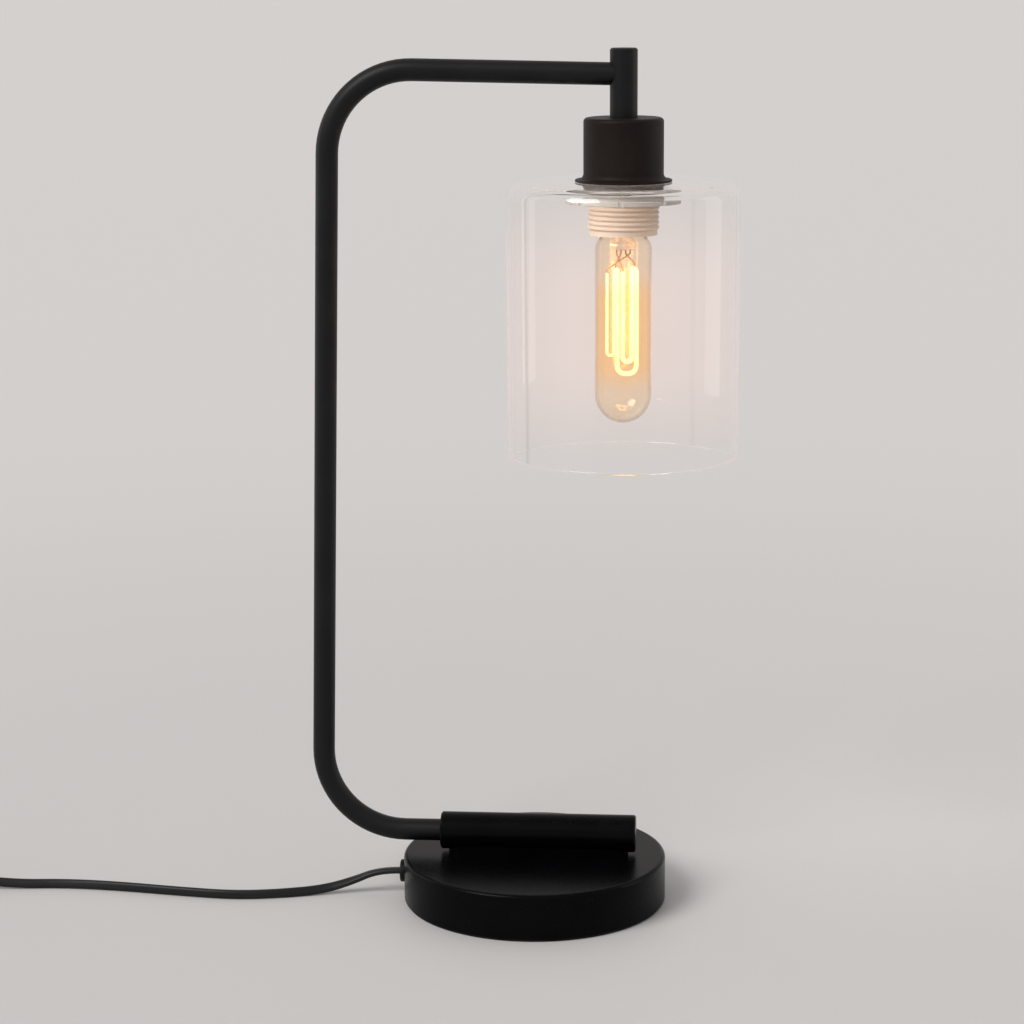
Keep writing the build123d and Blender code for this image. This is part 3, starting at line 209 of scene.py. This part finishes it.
black_plastic = coated(
    "black_plastic", (0.0045, 0.0045, 0.005), (0.0075, 0.0075, 0.0082),
    rough=0.4, grain=3000, depth=0.00004, specular=0.3,
)
ivory = coated(
    "ivory_plastic", (0.68, 0.53, 0.41), (0.74, 0.59, 0.47),
    rough=0.38, grain=900, depth=0.00001,
)
tie_fabric = coated(
    "tie_fabric", (0.006, 0.006, 0.0065), (0.013, 0.013, 0.014),
    rough=0.85, grain=2600, depth=0.0002, specular=0.15,
)
ceramic = coated(
    "ceramic", (0.68, 0.65, 0.58), (0.76, 0.73, 0.66),
    rough=0.5, grain=900, depth=0.00003,
)
fibre = coated(
    "pressed_fibre", (0.50, 0.43, 0.34), (0.60, 0.53, 0.43),
    rough=0.85, grain=900, depth=0.0001, specular=0.2,
)
ground_glass_painted_glow = coated(
    "ground_glass_painted_glow", (0.78, 0.76, 0.74), (0.86, 0.84, 0.82),
    rough=0.75, grain=1500, depth=0.00005, specular=0.2,
)

# Metals; their lines run along the axis that stretch scales down
steel = brushed("plated_steel", (0.42, 0.42, 0.43), (0.56, 0.56, 0.57), rough=0.3, stretch=(1, 1, 0.08))
nickel = brushed("plated_pins", (0.50, 0.49, 0.48), (0.60, 0.59, 0.57), rough=0.24, stretch=(0.05, 1, 1))
brass = brushed("brass", (0.56, 0.38, 0.13), (0.68, 0.47, 0.19), rough=0.28, stretch=(1, 1, 0.08))
wire = brushed("lead_wire", (0.45, 0.26, 0.13), (0.58, 0.34, 0.17), rough=0.35, stretch=(1, 1, 0.2))

# Glasses
clear_glass = glass("clear_glass", (0.995, 0.987, 0.98), index=1.45, wave_scale=14, wave_depth=0.0002)
amber_glass = glass("amber_glass", (0.99, 0.9, 0.75), index=1.45, wave_scale=30, wave_depth=0.0001)
stem_glass = glass("stem_glass", (0.97, 0.85, 0.79), index=1.5, wave_scale=300, wave_depth=0.0002)

# The ring's plastic is milky: it lets part of the light through
RING_CLOUD_SCALE = 160
RING_CLOUD_DEPTH = 0.00005
ring_plastic, tree, shader = material("ring_plastic")
cloud = noise(tree, RING_CLOUD_SCALE, detail=3)
tree.links.new(ramp(tree, cloud, (0.60, 0.57, 0.54), (0.68, 0.645, 0.615)), shader.inputs["Base Color"])
shader.inputs["Transmission Weight"].default_value = 0.45
shader.inputs["Roughness"].default_value = 0.35
shader.inputs["IOR"].default_value = 1.45
bump(tree, shader, cloud, RING_CLOUD_DEPTH)

# Painted glow: the glass gives off lamp-coloured light of its own, strongest in a band of heights, in
# metres, and where it is seen face on
BULB_BAND = (0.284, 0.302, 0.335, 0.352)
SHADE_BAND = (0.250, 0.300, 0.345, 0.392)


def product(tree, first, second):
    """Two numbers multiplied."""
    made = tree.nodes.new("ShaderNodeMath")
    made.operation = "MULTIPLY"
    tree.links.new(first, made.inputs[0])
    tree.links.new(second, made.inputs[1])
    return made.outputs["Value"]


def height_band(tree, low, full_low, full_high, high):
    """1 between two heights, and fading to 0 below and above them."""
    place = tree.nodes.new("ShaderNodeTexCoord")
    height = tree.nodes.new("ShaderNodeSeparateXYZ")
    tree.links.new(place.outputs["Object"], height.inputs["Vector"])
    sides = []
    for start, end in ((low, full_low), (high, full_high)):
        side = tree.nodes.new("ShaderNodeMapRange")
        side.interpolation_type = "SMOOTHSTEP"
        side.inputs["From Min"].default_value = start
        side.inputs["From Max"].default_value = end
        tree.links.new(height.outputs["Z"], side.inputs["Value"])
        sides.append(side.outputs["Result"])
    return product(tree, *sides)


def painted_glow(look, band, colour, strength):
    """Paints a glow onto a glass in a band; returns the band and how far the glass turns its edge to the
    eye.
    """
    tree = look.node_tree
    shader = tree.nodes["Principled BSDF"]
    lit = height_band(tree, *band)
    edge = tree.nodes.new("ShaderNodeLayerWeight").outputs["Facing"]
    face_on = tree.nodes.new("ShaderNodeMapRange")
    face_on.inputs["To Min"].default_value = strength
    face_on.inputs["To Max"].default_value = 0.0
    tree.links.new(edge, face_on.inputs["Value"])
    tree.links.new(product(tree, lit, face_on.outputs["Result"]), shader.inputs["Emission Strength"])
    shader.inputs["Emission Color"].default_value = (*colour, 1)
    return lit, edge


# Painted glow in the shade's glass round the bulb, and in the bulb's own glass
painted_glow(clear_glass, SHADE_BAND, colour=(1.0, 0.42, 0.28), strength=0.034)
lit, edge = painted_glow(amber_glass, BULB_BAND, colour=(1.0, 0.32, 0.06), strength=0.035)

# Painted glow: the ground glass gives off a little warm light of its own inside the shade
shader = ground_glass_painted_glow.node_tree.nodes["Principled BSDF"]
shader.inputs["Emission Color"].default_value = (1.0, 0.88, 0.80, 1)
shader.inputs["Emission Strength"].default_value = 0.42

# Painted light in the bulb's colour: a deeper amber where the filament glows, and painted shade that browns
# it where it is seen on edge
AMBER_PALE = (0.99, 0.92, 0.81)
AMBER_PAINTED_GLOW = (0.99, 0.85, 0.62)
EDGE_PAINTED_SHADE = (0.5, 0.42, 0.34)
UNCHANGED = (1, 1, 1)
tree = amber_glass.node_tree
by_height = ramp(tree, lit, AMBER_PALE, AMBER_PAINTED_GLOW, start=0, end=1)
by_edge = ramp(tree, edge, UNCHANGED, EDGE_PAINTED_SHADE, start=0.55, end=0.85)
amber = tree.nodes.new("ShaderNodeMix")
amber.data_type = "RGBA"
amber.blend_type = "MULTIPLY"
amber.inputs["Factor"].default_value = 1.0
tree.links.new(by_height, amber.inputs["A"])
tree.links.new(by_edge, amber.inputs["B"])
tree.links.new(amber.outputs["Result"], tree.nodes["Principled BSDF"].inputs["Base Color"])

# The filament's glow is a little uneven along the wire
HEAT_SCALE = 700
glow, tree, shader = material("filament_glow")
heat = noise(tree, HEAT_SCALE)
tree.links.new(ramp(tree, heat, (1.0, 0.60, 0.11), (1.0, 0.68, 0.15)), shader.inputs["Emission Color"])
shader.inputs["Base Color"].default_value = (1.0, 0.72, 0.30, 1)
shader.inputs["Emission Strength"].default_value = 7.0
shader.inputs["Roughness"].default_value = 0.6

# The look of each CAD node
looks = {
    black_coat: ["arm_tube", "head_stem"],
    base_coat_painted_darker: ["base_shell", "barrel_spacer", "barrel", "barrel_plug"],
    cup_coat: ["socket_cup"],
    felt: ["felt_pad"],
    iron: ["base_weight"],
    rubber: ["cord_grommet"],
    black_plastic: ["switch_base", "switch_cover", "switch_rocker", "plug_body", "cord_tie"],
    cord_skin: ["inner_lead", "cord_lead", "cord_coil"],
    ivory: ["lampholder_dome", "lampholder_sleeve"],
    ceramic: ["lampholder_insert", "bulb_insulator"],
    fibre: ["shade_washer"],
    steel: [
        "base_plate", "base_screws", "base_nipple", "base_washer", "base_nut", "arm_set_screw",
        "head_nipple", "head_nut", "switch_pin", "switch_screws",
    ],
    nickel: ["plug_pins"],
    brass: [
        "terminal_screws", "screw_shell", "centre_contact", "bulb_cap", "bulb_contact", "switch_contacts",
    ],
    wire: ["bulb_supports"],
    clear_glass: ["shade"],
    amber_glass: ["bulb_glass"],
    stem_glass: ["bulb_stem"],
    ring_plastic: ["shade_ring"],
    glow: ["filament"],
}
for look, names in looks.items():
    for name in names:
        data = nodes[name].data
        data.materials.clear()
        data.materials.append(look)

# The bulb's glass and the milky ring let the light through to what they cover
for name in ("shade_ring", "bulb_glass", "bulb_stem"):
    nodes[name].visible_shadow = False

# Mesh helpers
SHARP_FROM = math.radians(40)


def bend(centre, radius, start, end, count):
    """Points on an arc, from one angle to another in degrees."""
    spots = []
    for i in range(count + 1):
        angle = math.radians(start + (end - start) * i / count)
        spots.append((centre[0] + radius * math.cos(angle), centre[1] + radius * math.sin(angle)))
    return spots


def skin(name, rings, closed, look):
    """A smooth mesh over rings of points in metres, joined end to end if closed, or else capped."""
    mesh = bpy.data.meshes.new(name)
    made = bmesh.new()
    rows = [[made.verts.new(place) for place in ring] for ring in rings]
    count = len(rows[0])
    pairs = list(zip(rows, rows[1:]))
    if closed:
        pairs.append((rows[-1], rows[0]))
    for first, second in pairs:
        for j in range(count):
            k = (j + 1) % count
            made.faces.new((first[j], first[k], second[k], second[j]))
    if not closed:
        made.faces.new(list(reversed(rows[0])))
        made.faces.new(rows[-1])
    bmesh.ops.recalc_face_normals(made, faces=made.faces)
    made.to_mesh(mesh)
    made.free()
    mesh.polygons.foreach_set("use_smooth", [True] * len(mesh.polygons))
    mesh.set_sharp_from_angle(angle=SHARP_FROM)
    mesh.materials.append(look)
    piece = bpy.data.objects.new(name, mesh)
    scene.collection.objects.link(piece)
    return piece


def turned(name, profile, axis_x, sides, look):
    """A closed profile turned about an upright axis; millimetres."""
    rings = []
    for i in range(sides):
        angle = 2 * math.pi * i / sides
        rings.append([
            ((axis_x + r * math.cos(angle)) / 1000, r * math.sin(angle) / 1000, z / 1000)
            for r, z in profile
        ])
    return skin(name, rings, True, look)


def rounded_outline(half_width, half_height, corner, count):
    """A rectangle with round corners about the origin, anticlockwise from its right side."""
    spots = []
    for i, (side, rise) in enumerate(((1, 1), (-1, 1), (-1, -1), (1, -1))):
        centre = (side * (half_width - corner), rise * (half_height - corner))
        spots += bend(centre, corner, 90 * i, 90 * i + 90, count)
    return spots


# Shade: the glass cylinder turned finely, so that its rims bend light evenly; sizes in millimetres
HEAD_X = 48.5
SHADE_R = 62.0
SHADE_HOLE_R = 20.0
SHADE_SEAT_R = 25.6
SHADE_LOW = 251.5
SHADE_TOP = 397.5
SHADE_WALL = 3.0
SHOULDER = 8.0
RIM = 1.2
SHADE_SIDES = 256
RIM_STEPS = 8
SHOULDER_STEPS = 16
inner_r = SHADE_R - SHADE_WALL
inner_shoulder = SHOULDER - SHADE_WALL
shoulder_z = SHADE_TOP - SHOULDER
rim_z = SHADE_LOW + RIM
shade_profile = bend((SHADE_R - RIM, rim_z), RIM, -90, 0, RIM_STEPS)
shade_profile += bend((SHADE_R - SHOULDER, shoulder_z), SHOULDER, 0, 90, SHOULDER_STEPS)
shade_profile += [(SHADE_SEAT_R, SHADE_TOP)]
shade_profile += [(SHADE_HOLE_R, SHADE_TOP), (SHADE_HOLE_R, SHADE_TOP - SHADE_WALL)]
shade_profile += bend((inner_r - inner_shoulder, shoulder_z), inner_shoulder, 90, 0, SHOULDER_STEPS)
shade_profile += bend((inner_r + RIM, rim_z), RIM, 180, 270, RIM_STEPS)
glass_shade = turned("glass_shade", shade_profile, HEAD_X, SHADE_SIDES, clear_glass)

# The hole's edge and the seat under the cup's lip are ground
glass_shade.data.materials.append(ground_glass_painted_glow)
for face in glass_shade.data.polygons:
    across = math.hypot(face.center.x - HEAD_X / 1000, face.center.y)
    face.material_index = 1 if across < SHADE_SEAT_R / 1000 else 0

# Its glass too lets the light through
glass_shade.visible_shadow = False
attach(glass_shade, "shade_set")
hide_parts("shade")

# Cords: flat flex, wide side standing where it lies on the table; sizes and routes in millimetres
CORD_W = 5.2
CORD_T = 3.2
CORD_SIDES = 20
EXIT = (-75.0, 0.0, 13.5)
LEAD_ROUTE = [
    EXIT,
    (-87.0, 0.0, 13.5),
    (-103.0, -1.2, 6.8),
    (-119.0, -4.2, 2.6),
    (-140.0, -11.6, 2.6),
    (-166.0, -16.4, 2.6),
    (-200.0, -11.8, 2.6),
    (-232.0, -6.2, 2.6),
    (-264.0, -3.2, 2.6),
    (-292.0, -6.0, 2.6),
    (-318.0, -9.5, 6.0),
    (-335.0, -9.5, 6.0),
]
SWITCH_END = (-397.0, -9.5, 6.0)
COIL_CENTRE = (-450.0, 31.5)
COIL_R = 41.0
COIL_STEP = 5.9
COIL_TURNS = 7.5
COIL_LOW = 3.7
COIL_CLIMB = (3.5, 4.0)
COIL_POINTS = 24
PLUG_NECK = (-418.0, 72.5, 6.85)


def ease(value, start, end):
    """0 before start and 1 after end, with a smooth change between them."""
    share = min(max((value - start) / (end - start), 0), 1)
    return share * share * (3 - 2 * share)


def coil_point(turns):
    """A point of the coil's route: turns inwards below, and then outwards above."""
    radius = COIL_R - COIL_STEP * min(turns, COIL_TURNS - turns)
    angle = -math.pi / 2 - 2 * math.pi * turns
    height = COIL_LOW + COIL_STEP * ease(turns, *COIL_CLIMB)
    return (COIL_CENTRE[0] + radius * math.cos(angle), COIL_CENTRE[1] + radius * math.sin(angle), height)


coil_count = round(COIL_TURNS * COIL_POINTS)
coil_route = [SWITCH_END, (-404.0, -9.5, 6.0), (-424.0, -9.5, 5.0), (-440.0, -9.5, 3.8)]
coil_route += [coil_point(i / COIL_POINTS) for i in range(coil_count + 1)]
coil_route += [(-441.0, 72.5, 9.2), (-428.0, 72.5, 7.2), PLUG_NECK]


def smooth_line(name, route, resolution):
    """Points in metres, read from one open NURBS spline with the route as its control points."""
    data = bpy.data.curves.new(name, "CURVE")
    data.dimensions = "3D"
    spline = data.splines.new("NURBS")
    spline.points.add(len(route) - 1)
    for point, place in zip(spline.points, route):
        point.co = (*(value / 1000 for value in place), 1)
    spline.order_u = 3
    spline.use_endpoint_u = True
    spline.resolution_u = resolution
    holder = bpy.data.objects.new(name, data)
    mesh = bpy.data.meshes.new_from_object(holder)
    line = [vertex.co.copy() for vertex in mesh.vertices]
    bpy.data.objects.remove(holder)
    bpy.data.meshes.remove(mesh)
    bpy.data.curves.remove(data)
    return line


def flex_section(count):
    """The flat cord's outline, two half rounds and two straight sides, about its middle."""
    straight = (CORD_W - CORD_T) / 2
    outline = []
    for i in range(count):
        angle = 2 * math.pi * (i + 0.5) / count
        side = straight if math.cos(angle) > 0 else -straight
        outline.append((side + CORD_T / 2 * math.cos(angle), CORD_T / 2 * math.sin(angle)))
    return outline


def flat_cord(name, line, stand):
    """A tube of the flat cord's section along a line; stand gives its twist by the length so far."""
    outline = flex_section(CORD_SIDES)
    rings = []
    run = 0.0
    for i, place in enumerate(line):
        before = line[max(i - 1, 0)]
        after = line[min(i + 1, len(line) - 1)]
        if i:
            run += (place - before).length
        heading = (after - before).normalized()
        across = heading.cross(Vector((0, 0, 1))).normalized()
        above = across.cross(heading)
        twist = math.radians(stand(run))
        wide = math.cos(twist) * across + math.sin(twist) * above
        thick = heading.cross(wide)
        rings.append([place + (wide * a + thick * b) / 1000 for a, b in outline])
    return skin(name, rings, False, cord_skin)


# How far the wide side stands up from lying flat, in degrees, and where that changes, in metres along
LEAD_UPRIGHT = 88
LEAD_RISES = (0.008, 0.075)
LEAD_LEAN = 25
LEAD_LEANS = (0.12, 0.23)
COIL_UPRIGHT = 90
COIL_RISES = (0.0, 0.05)


def lead_stand(run):
    """The lead leaves the base flat, stands up on the table and leans over towards the switch."""
    return LEAD_UPRIGHT * ease(run, *LEAD_RISES) - LEAD_LEAN * ease(run, *LEAD_LEANS)


def coil_stand(run):
    """The coil's cord leaves the switch leaning, as the lead came in, and then stands up."""
    leaning = LEAD_UPRIGHT - LEAD_LEAN
    return leaning + (COIL_UPRIGHT - leaning) * ease(run, *COIL_RISES)


lead_line = smooth_line("lead_line", LEAD_ROUTE, resolution=10)
lead = flat_cord("flex_lead", lead_line, lead_stand)
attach(lead, "stand")
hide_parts("cord_lead")
coil_line = smooth_line("coil_line", coil_route, resolution=4)
coil = flat_cord("flex_coil", coil_line, coil_stand)
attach(coil, "stand")
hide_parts("cord_coil")

# Tie: a fabric strap drawn round the coil's turns, on the side away from the lamp
TIE_T = 0.8
TIE_W = 8.0
TIE_LEFT = -491.3
TIE_RIGHT = -470.0
TIE_LOW = TIE_T
TIE_HIGH = 12.5
TIE_CORNER = 1.2
TIE_CORNER_STEPS = 5


def strap_ring(grow, side):
    """The strap's outline at one of its edges, grown outwards."""
    half_width = (TIE_RIGHT - TIE_LEFT) / 2 + grow
    half_height = (TIE_HIGH - TIE_LOW) / 2 + grow
    middle_x = (TIE_LEFT + TIE_RIGHT) / 2
    edge_y = COIL_CENTRE[1] + side * TIE_W / 2
    middle_z = (TIE_LOW + TIE_HIGH) / 2
    outline = rounded_outline(half_width, half_height, TIE_CORNER + grow, TIE_CORNER_STEPS)
    return [((middle_x + x) / 1000, edge_y / 1000, (middle_z + z) / 1000) for x, z in outline]


strap_rings = [strap_ring(grow, side) for grow, side in ((0, -1), (TIE_T, -1), (TIE_T, 1), (0, 1))]
strap = skin("tie_strap", strap_rings, True, tie_fabric)
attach(strap, "stand")
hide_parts("cord_tie")

# Plug: a flat moulded body that narrows to the cord, with grip grooves across the narrow part
PLUG_BACK = 23.0
PLUG_LENGTH = 38.0
PLUG_NECK_SIZE = (13.0, 9.0)
PLUG_SIZE = (35.0, 13.7)
PLUG_EDGE = 1.0
PLUG_CORNER = 3.5
PLUG_CORNER_STEPS = 6
PLUG_PLAIN_START = 12.5
PLUG_PLAIN_STEP = 1.5
PLUG_PLAIN_COUNT = 9
GROOVES = (4.0, 7.0, 10.0)
GROOVE_FULL = 0.9
GROOVE_FLOOR = 0.5
GROOVE_DEPTH = 0.7


def plug_ring(along, inset):
    """The plug's outline at a distance from its cord end, drawn in by inset."""
    share = min(along / PLUG_BACK, 1)
    half = [(a + (b - a) * share) / 2 - inset for a, b in zip(PLUG_NECK_SIZE, PLUG_SIZE)]
    outline = rounded_outline(half[0], half[1], PLUG_CORNER - inset, PLUG_CORNER_STEPS)
    x, y, z = PLUG_NECK
    return [((x + along) / 1000, (y + across) / 1000, (z + rise) / 1000) for across, rise in outline]


# Stations along the plug, as (distance from the cord end, inset); each end's edge is rounded in two steps
ROUND_MIDDLE = 0.3
plug_round = PLUG_EDGE * ROUND_MIDDLE
plug_stations = [(0.0, PLUG_EDGE), (plug_round, plug_round), (PLUG_EDGE, 0.0)]
for groove in GROOVES:
    plug_stations += [(groove - GROOVE_FULL, 0.0), (groove - GROOVE_FLOOR, GROOVE_DEPTH)]
    plug_stations += [(groove + GROOVE_FLOOR, GROOVE_DEPTH), (groove + GROOVE_FULL, 0.0)]
plug_stations += [(PLUG_PLAIN_START + PLUG_PLAIN_STEP * i, 0.0) for i in range(PLUG_PLAIN_COUNT)]
plug_stations += [(PLUG_LENGTH - PLUG_EDGE, 0.0), (PLUG_LENGTH - plug_round, plug_round)]
plug_stations += [(PLUG_LENGTH, PLUG_EDGE)]
plug = skin("moulded_plug", [plug_ring(*station) for station in plug_stations], False, black_plastic)
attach(plug, "stand")
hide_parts("plug_body")

# Filament: fine coiled wire along three hairpins; points in millimetres, from the bulb's axis and the table
FILAMENT_PITCH = 0.9
FILAMENT_WIRE = 0.4
FILAMENT_PER_TURN = 10
THIN_COIL_R = 0.45
WIDE_COIL_R = 0.95
THIN_HAIRPIN = [
    (-8.4, -3, 350), (-8.4, -3, 310.4), (-8.4, -3, 307), (-4.8, -3, 307),
    (-4.8, -3, 310.4), (-4.8, -3, 346), (-4.8, -3, 351.6), (-3.2, 0, 352),
]
LONG_HAIRPIN = [
    (-3.2, 0, 352), (-3.2, 0, 349), (-3.2, 0, 306), (-3.2, 0, 297), (7, 0, 297),
    (7, 0, 306), (7, 0, 349), (7, 0, 352), (4.6, 3.4, 352),
]
INNER_HAIRPIN = [
    (4.6, 3.4, 352), (4.6, 3.4, 349), (4.6, 3.4, 308), (4.6, 3.4, 303),
    (-0.4, 3.4, 303), (-0.4, 3.4, 308), (-0.4, 3.4, 350),
]


def coil_along(line, radius, pitch, per_turn):
    """A helix round a line; every point is turned on from the one before."""
    spots = []
    heading = (line[1] - line[0]).normalized()
    side = heading.orthogonal().normalized()
    run = 0.0
    for first, second in zip(line, line[1:]):
        step = second - first
        length = step.length
        fresh = step.normalized()
        side = (heading.rotation_difference(fresh) @ side).normalized()
        heading = fresh
        count = max(math.ceil(length / pitch * per_turn), 1)
        for i in range(count):
            share = i / count
            angle = 2 * math.pi * (run + share * length) / pitch
            out = math.cos(angle) * side + math.sin(angle) * heading.cross(side)
            spots.append(first + step * share + out * radius)
        run += length
    return spots


def wire_mesh(name, lines, gauge):
    """Round wire along lines of points, as one mesh."""
    data = bpy.data.curves.new(name, "CURVE")
    data.dimensions = "3D"
    data.bevel_depth = gauge / 2
    data.bevel_resolution = 1
    data.use_fill_caps = True
    for line in lines:
        spline = data.splines.new("POLY")
        spline.points.add(len(line) - 1)
        for point, place in zip(spline.points, line):
            point.co = (*place, 1)
    holder = bpy.data.objects.new(name, data)
    mesh = bpy.data.meshes.new_from_object(holder)
    bpy.data.objects.remove(holder)
    bpy.data.curves.remove(data)
    mesh.polygons.foreach_set("use_smooth", [True] * len(mesh.polygons))
    piece = bpy.data.objects.new(name, mesh)
    scene.collection.objects.link(piece)
    return piece


hairpins = [(THIN_HAIRPIN, THIN_COIL_R), (LONG_HAIRPIN, WIDE_COIL_R), (INNER_HAIRPIN, WIDE_COIL_R)]
hairpin_coils = []
for hairpin, coil_r in hairpins:
    line = smooth_line("hairpin", [(HEAD_X + x, y, z) for x, y, z in hairpin], resolution=8)
    hairpin_coils.append(coil_along(line, coil_r / 1000, FILAMENT_PITCH / 1000, FILAMENT_PER_TURN))
filament = wire_mesh("filament_coils", hairpin_coils, FILAMENT_WIRE / 1000)
filament.data.materials.append(glow)
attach(filament, "bulb")
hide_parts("filament")

# Floor: a little darker near the lamp
FLOOR_HALF = 30
FADE_NEAR = 0.2
FADE_FAR = 1.6
FLOOR_NEAR_COLOUR = (0.655, 0.64, 0.63)
FLOOR_FAR_COLOUR = (0.745, 0.72, 0.705)
floor_mesh = bpy.data.meshes.new("floor")
made = bmesh.new()
bmesh.ops.create_grid(made, x_segments=1, y_segments=1, size=FLOOR_HALF)
made.to_mesh(floor_mesh)
made.free()
floor = bpy.data.objects.new("floor", floor_mesh)
scene.collection.objects.link(floor)
floor_look, tree, shader = material("floor_paint")
place = tree.nodes.new("ShaderNodeTexCoord")
far = tree.nodes.new("ShaderNodeVectorMath")
far.operation = "LENGTH"
tree.links.new(place.outputs["Object"], far.inputs[0])
fade = tree.nodes.new("ShaderNodeMapRange")
fade.interpolation_type = "SMOOTHSTEP"
fade.inputs["From Min"].default_value = FADE_NEAR
fade.inputs["From Max"].default_value = FADE_FAR
tree.links.new(far.outputs["Value"], fade.inputs["Value"])
pales = ramp(tree, fade.outputs["Result"], FLOOR_NEAR_COLOUR, FLOOR_FAR_COLOUR, start=0, end=1)
tree.links.new(pales, shader.inputs["Base Color"])
shader.inputs["Roughness"].default_value = 0.55
shader.inputs["Specular IOR Level"].default_value = 0.25
floor_mesh.materials.append(floor_look)

# World: even light from all round, and a pale wall where the camera, gloss or glass looks past the floor
world = bpy.data.worlds.new("studio")
world.use_nodes = True
tree = world.node_tree
ambient = tree.nodes["Background"]
ambient.inputs["Color"].default_value = (0.97, 0.98, 1.0, 1)
ambient.inputs["Strength"].default_value = 0.5
pale = tree.nodes.new("ShaderNodeBackground")
pale.inputs["Color"].default_value = (0.675, 0.646, 0.632, 1)
ray = tree.nodes.new("ShaderNodeLightPath")
seen = ray.outputs["Is Camera Ray"]
for other in ("Is Glossy Ray", "Is Transmission Ray"):
    joined = tree.nodes.new("ShaderNodeMath")
    joined.operation = "MAXIMUM"
    tree.links.new(seen, joined.inputs[0])
    tree.links.new(ray.outputs[other], joined.inputs[1])
    seen = joined.outputs["Value"]
chosen = tree.nodes.new("ShaderNodeMixShader")
tree.links.new(seen, chosen.inputs["Fac"])
tree.links.new(ambient.outputs["Background"], chosen.inputs[1])
tree.links.new(pale.outputs["Background"], chosen.inputs[2])
tree.links.new(chosen.outputs["Shader"], tree.nodes["World Output"].inputs["Surface"])
scene.world = world


def soft_sun(name, towards, angle, power, colour):
    """A wide, even light that shines along a direction."""
    data = bpy.data.lights.new(name, "SUN")
    data.angle = math.radians(angle)
    data.energy = power
    data.color = colour
    made = bpy.data.objects.new(name, data)
    made.rotation_mode = "QUATERNION"
    made.rotation_quaternion = Vector(towards).to_track_quat("-Z", "Y")
    scene.collection.objects.link(made)


# The panels light the lamp and leave the floor even
panels_reach = bpy.data.collections.new("panels_reach")
panels_reach.objects.link(floor)
panels_reach.collection_objects[0].light_linking.link_state = "EXCLUDE"


def soft_box(name, place, target, size, power, colour):
    """A tall panel of light that faces a target."""
    data = bpy.data.lights.new(name, "AREA")
    data.shape = "RECTANGLE"
    data.size, data.size_y = size
    data.energy = power
    data.color = colour
    made = bpy.data.objects.new(name, data)
    made.location = place
    made.rotation_mode = "QUATERNION"
    made.rotation_quaternion = (Vector(target) - Vector(place)).to_track_quat("-Z", "Y")
    made.visible_camera = False
    made.visible_transmission = False
    made.light_linking.receiver_collection = panels_reach
    scene.collection.objects.link(made)


PANEL_TARGET = (0.05, 0, 0.55)
PANEL_SIZE = (0.6, 1.4)
PANEL_POWER = 2.6
soft_sun("key", (0.62, 0.6, -0.75), angle=30, power=1.85, colour=(1.0, 0.97, 0.94))
soft_box("left_panel", (-1.5, 0.35, 0.55), PANEL_TARGET, PANEL_SIZE, PANEL_POWER, (1.0, 0.98, 0.96))
soft_box("right_panel", (1.5, 0.25, 0.55), PANEL_TARGET, PANEL_SIZE, PANEL_POWER, (1.0, 0.96, 0.92))

# The lit bulb warms what is near it
BULB_LIGHT_Z = 325
bulb_light = bpy.data.lights.new("bulb_light", "POINT")
bulb_light.energy = 0.02
bulb_light.color = (1.0, 0.66, 0.36)
bulb_light.shadow_soft_size = 0.008
bulb_lamp = bpy.data.objects.new("bulb_light", bulb_light)
bulb_lamp.location = (HEAD_X / 1000, 0, BULB_LIGHT_Z / 1000)
bulb_lamp.visible_camera = False
bulb_lamp.visible_glossy = False
bulb_lamp.visible_transmission = False
scene.collection.objects.link(bulb_lamp)
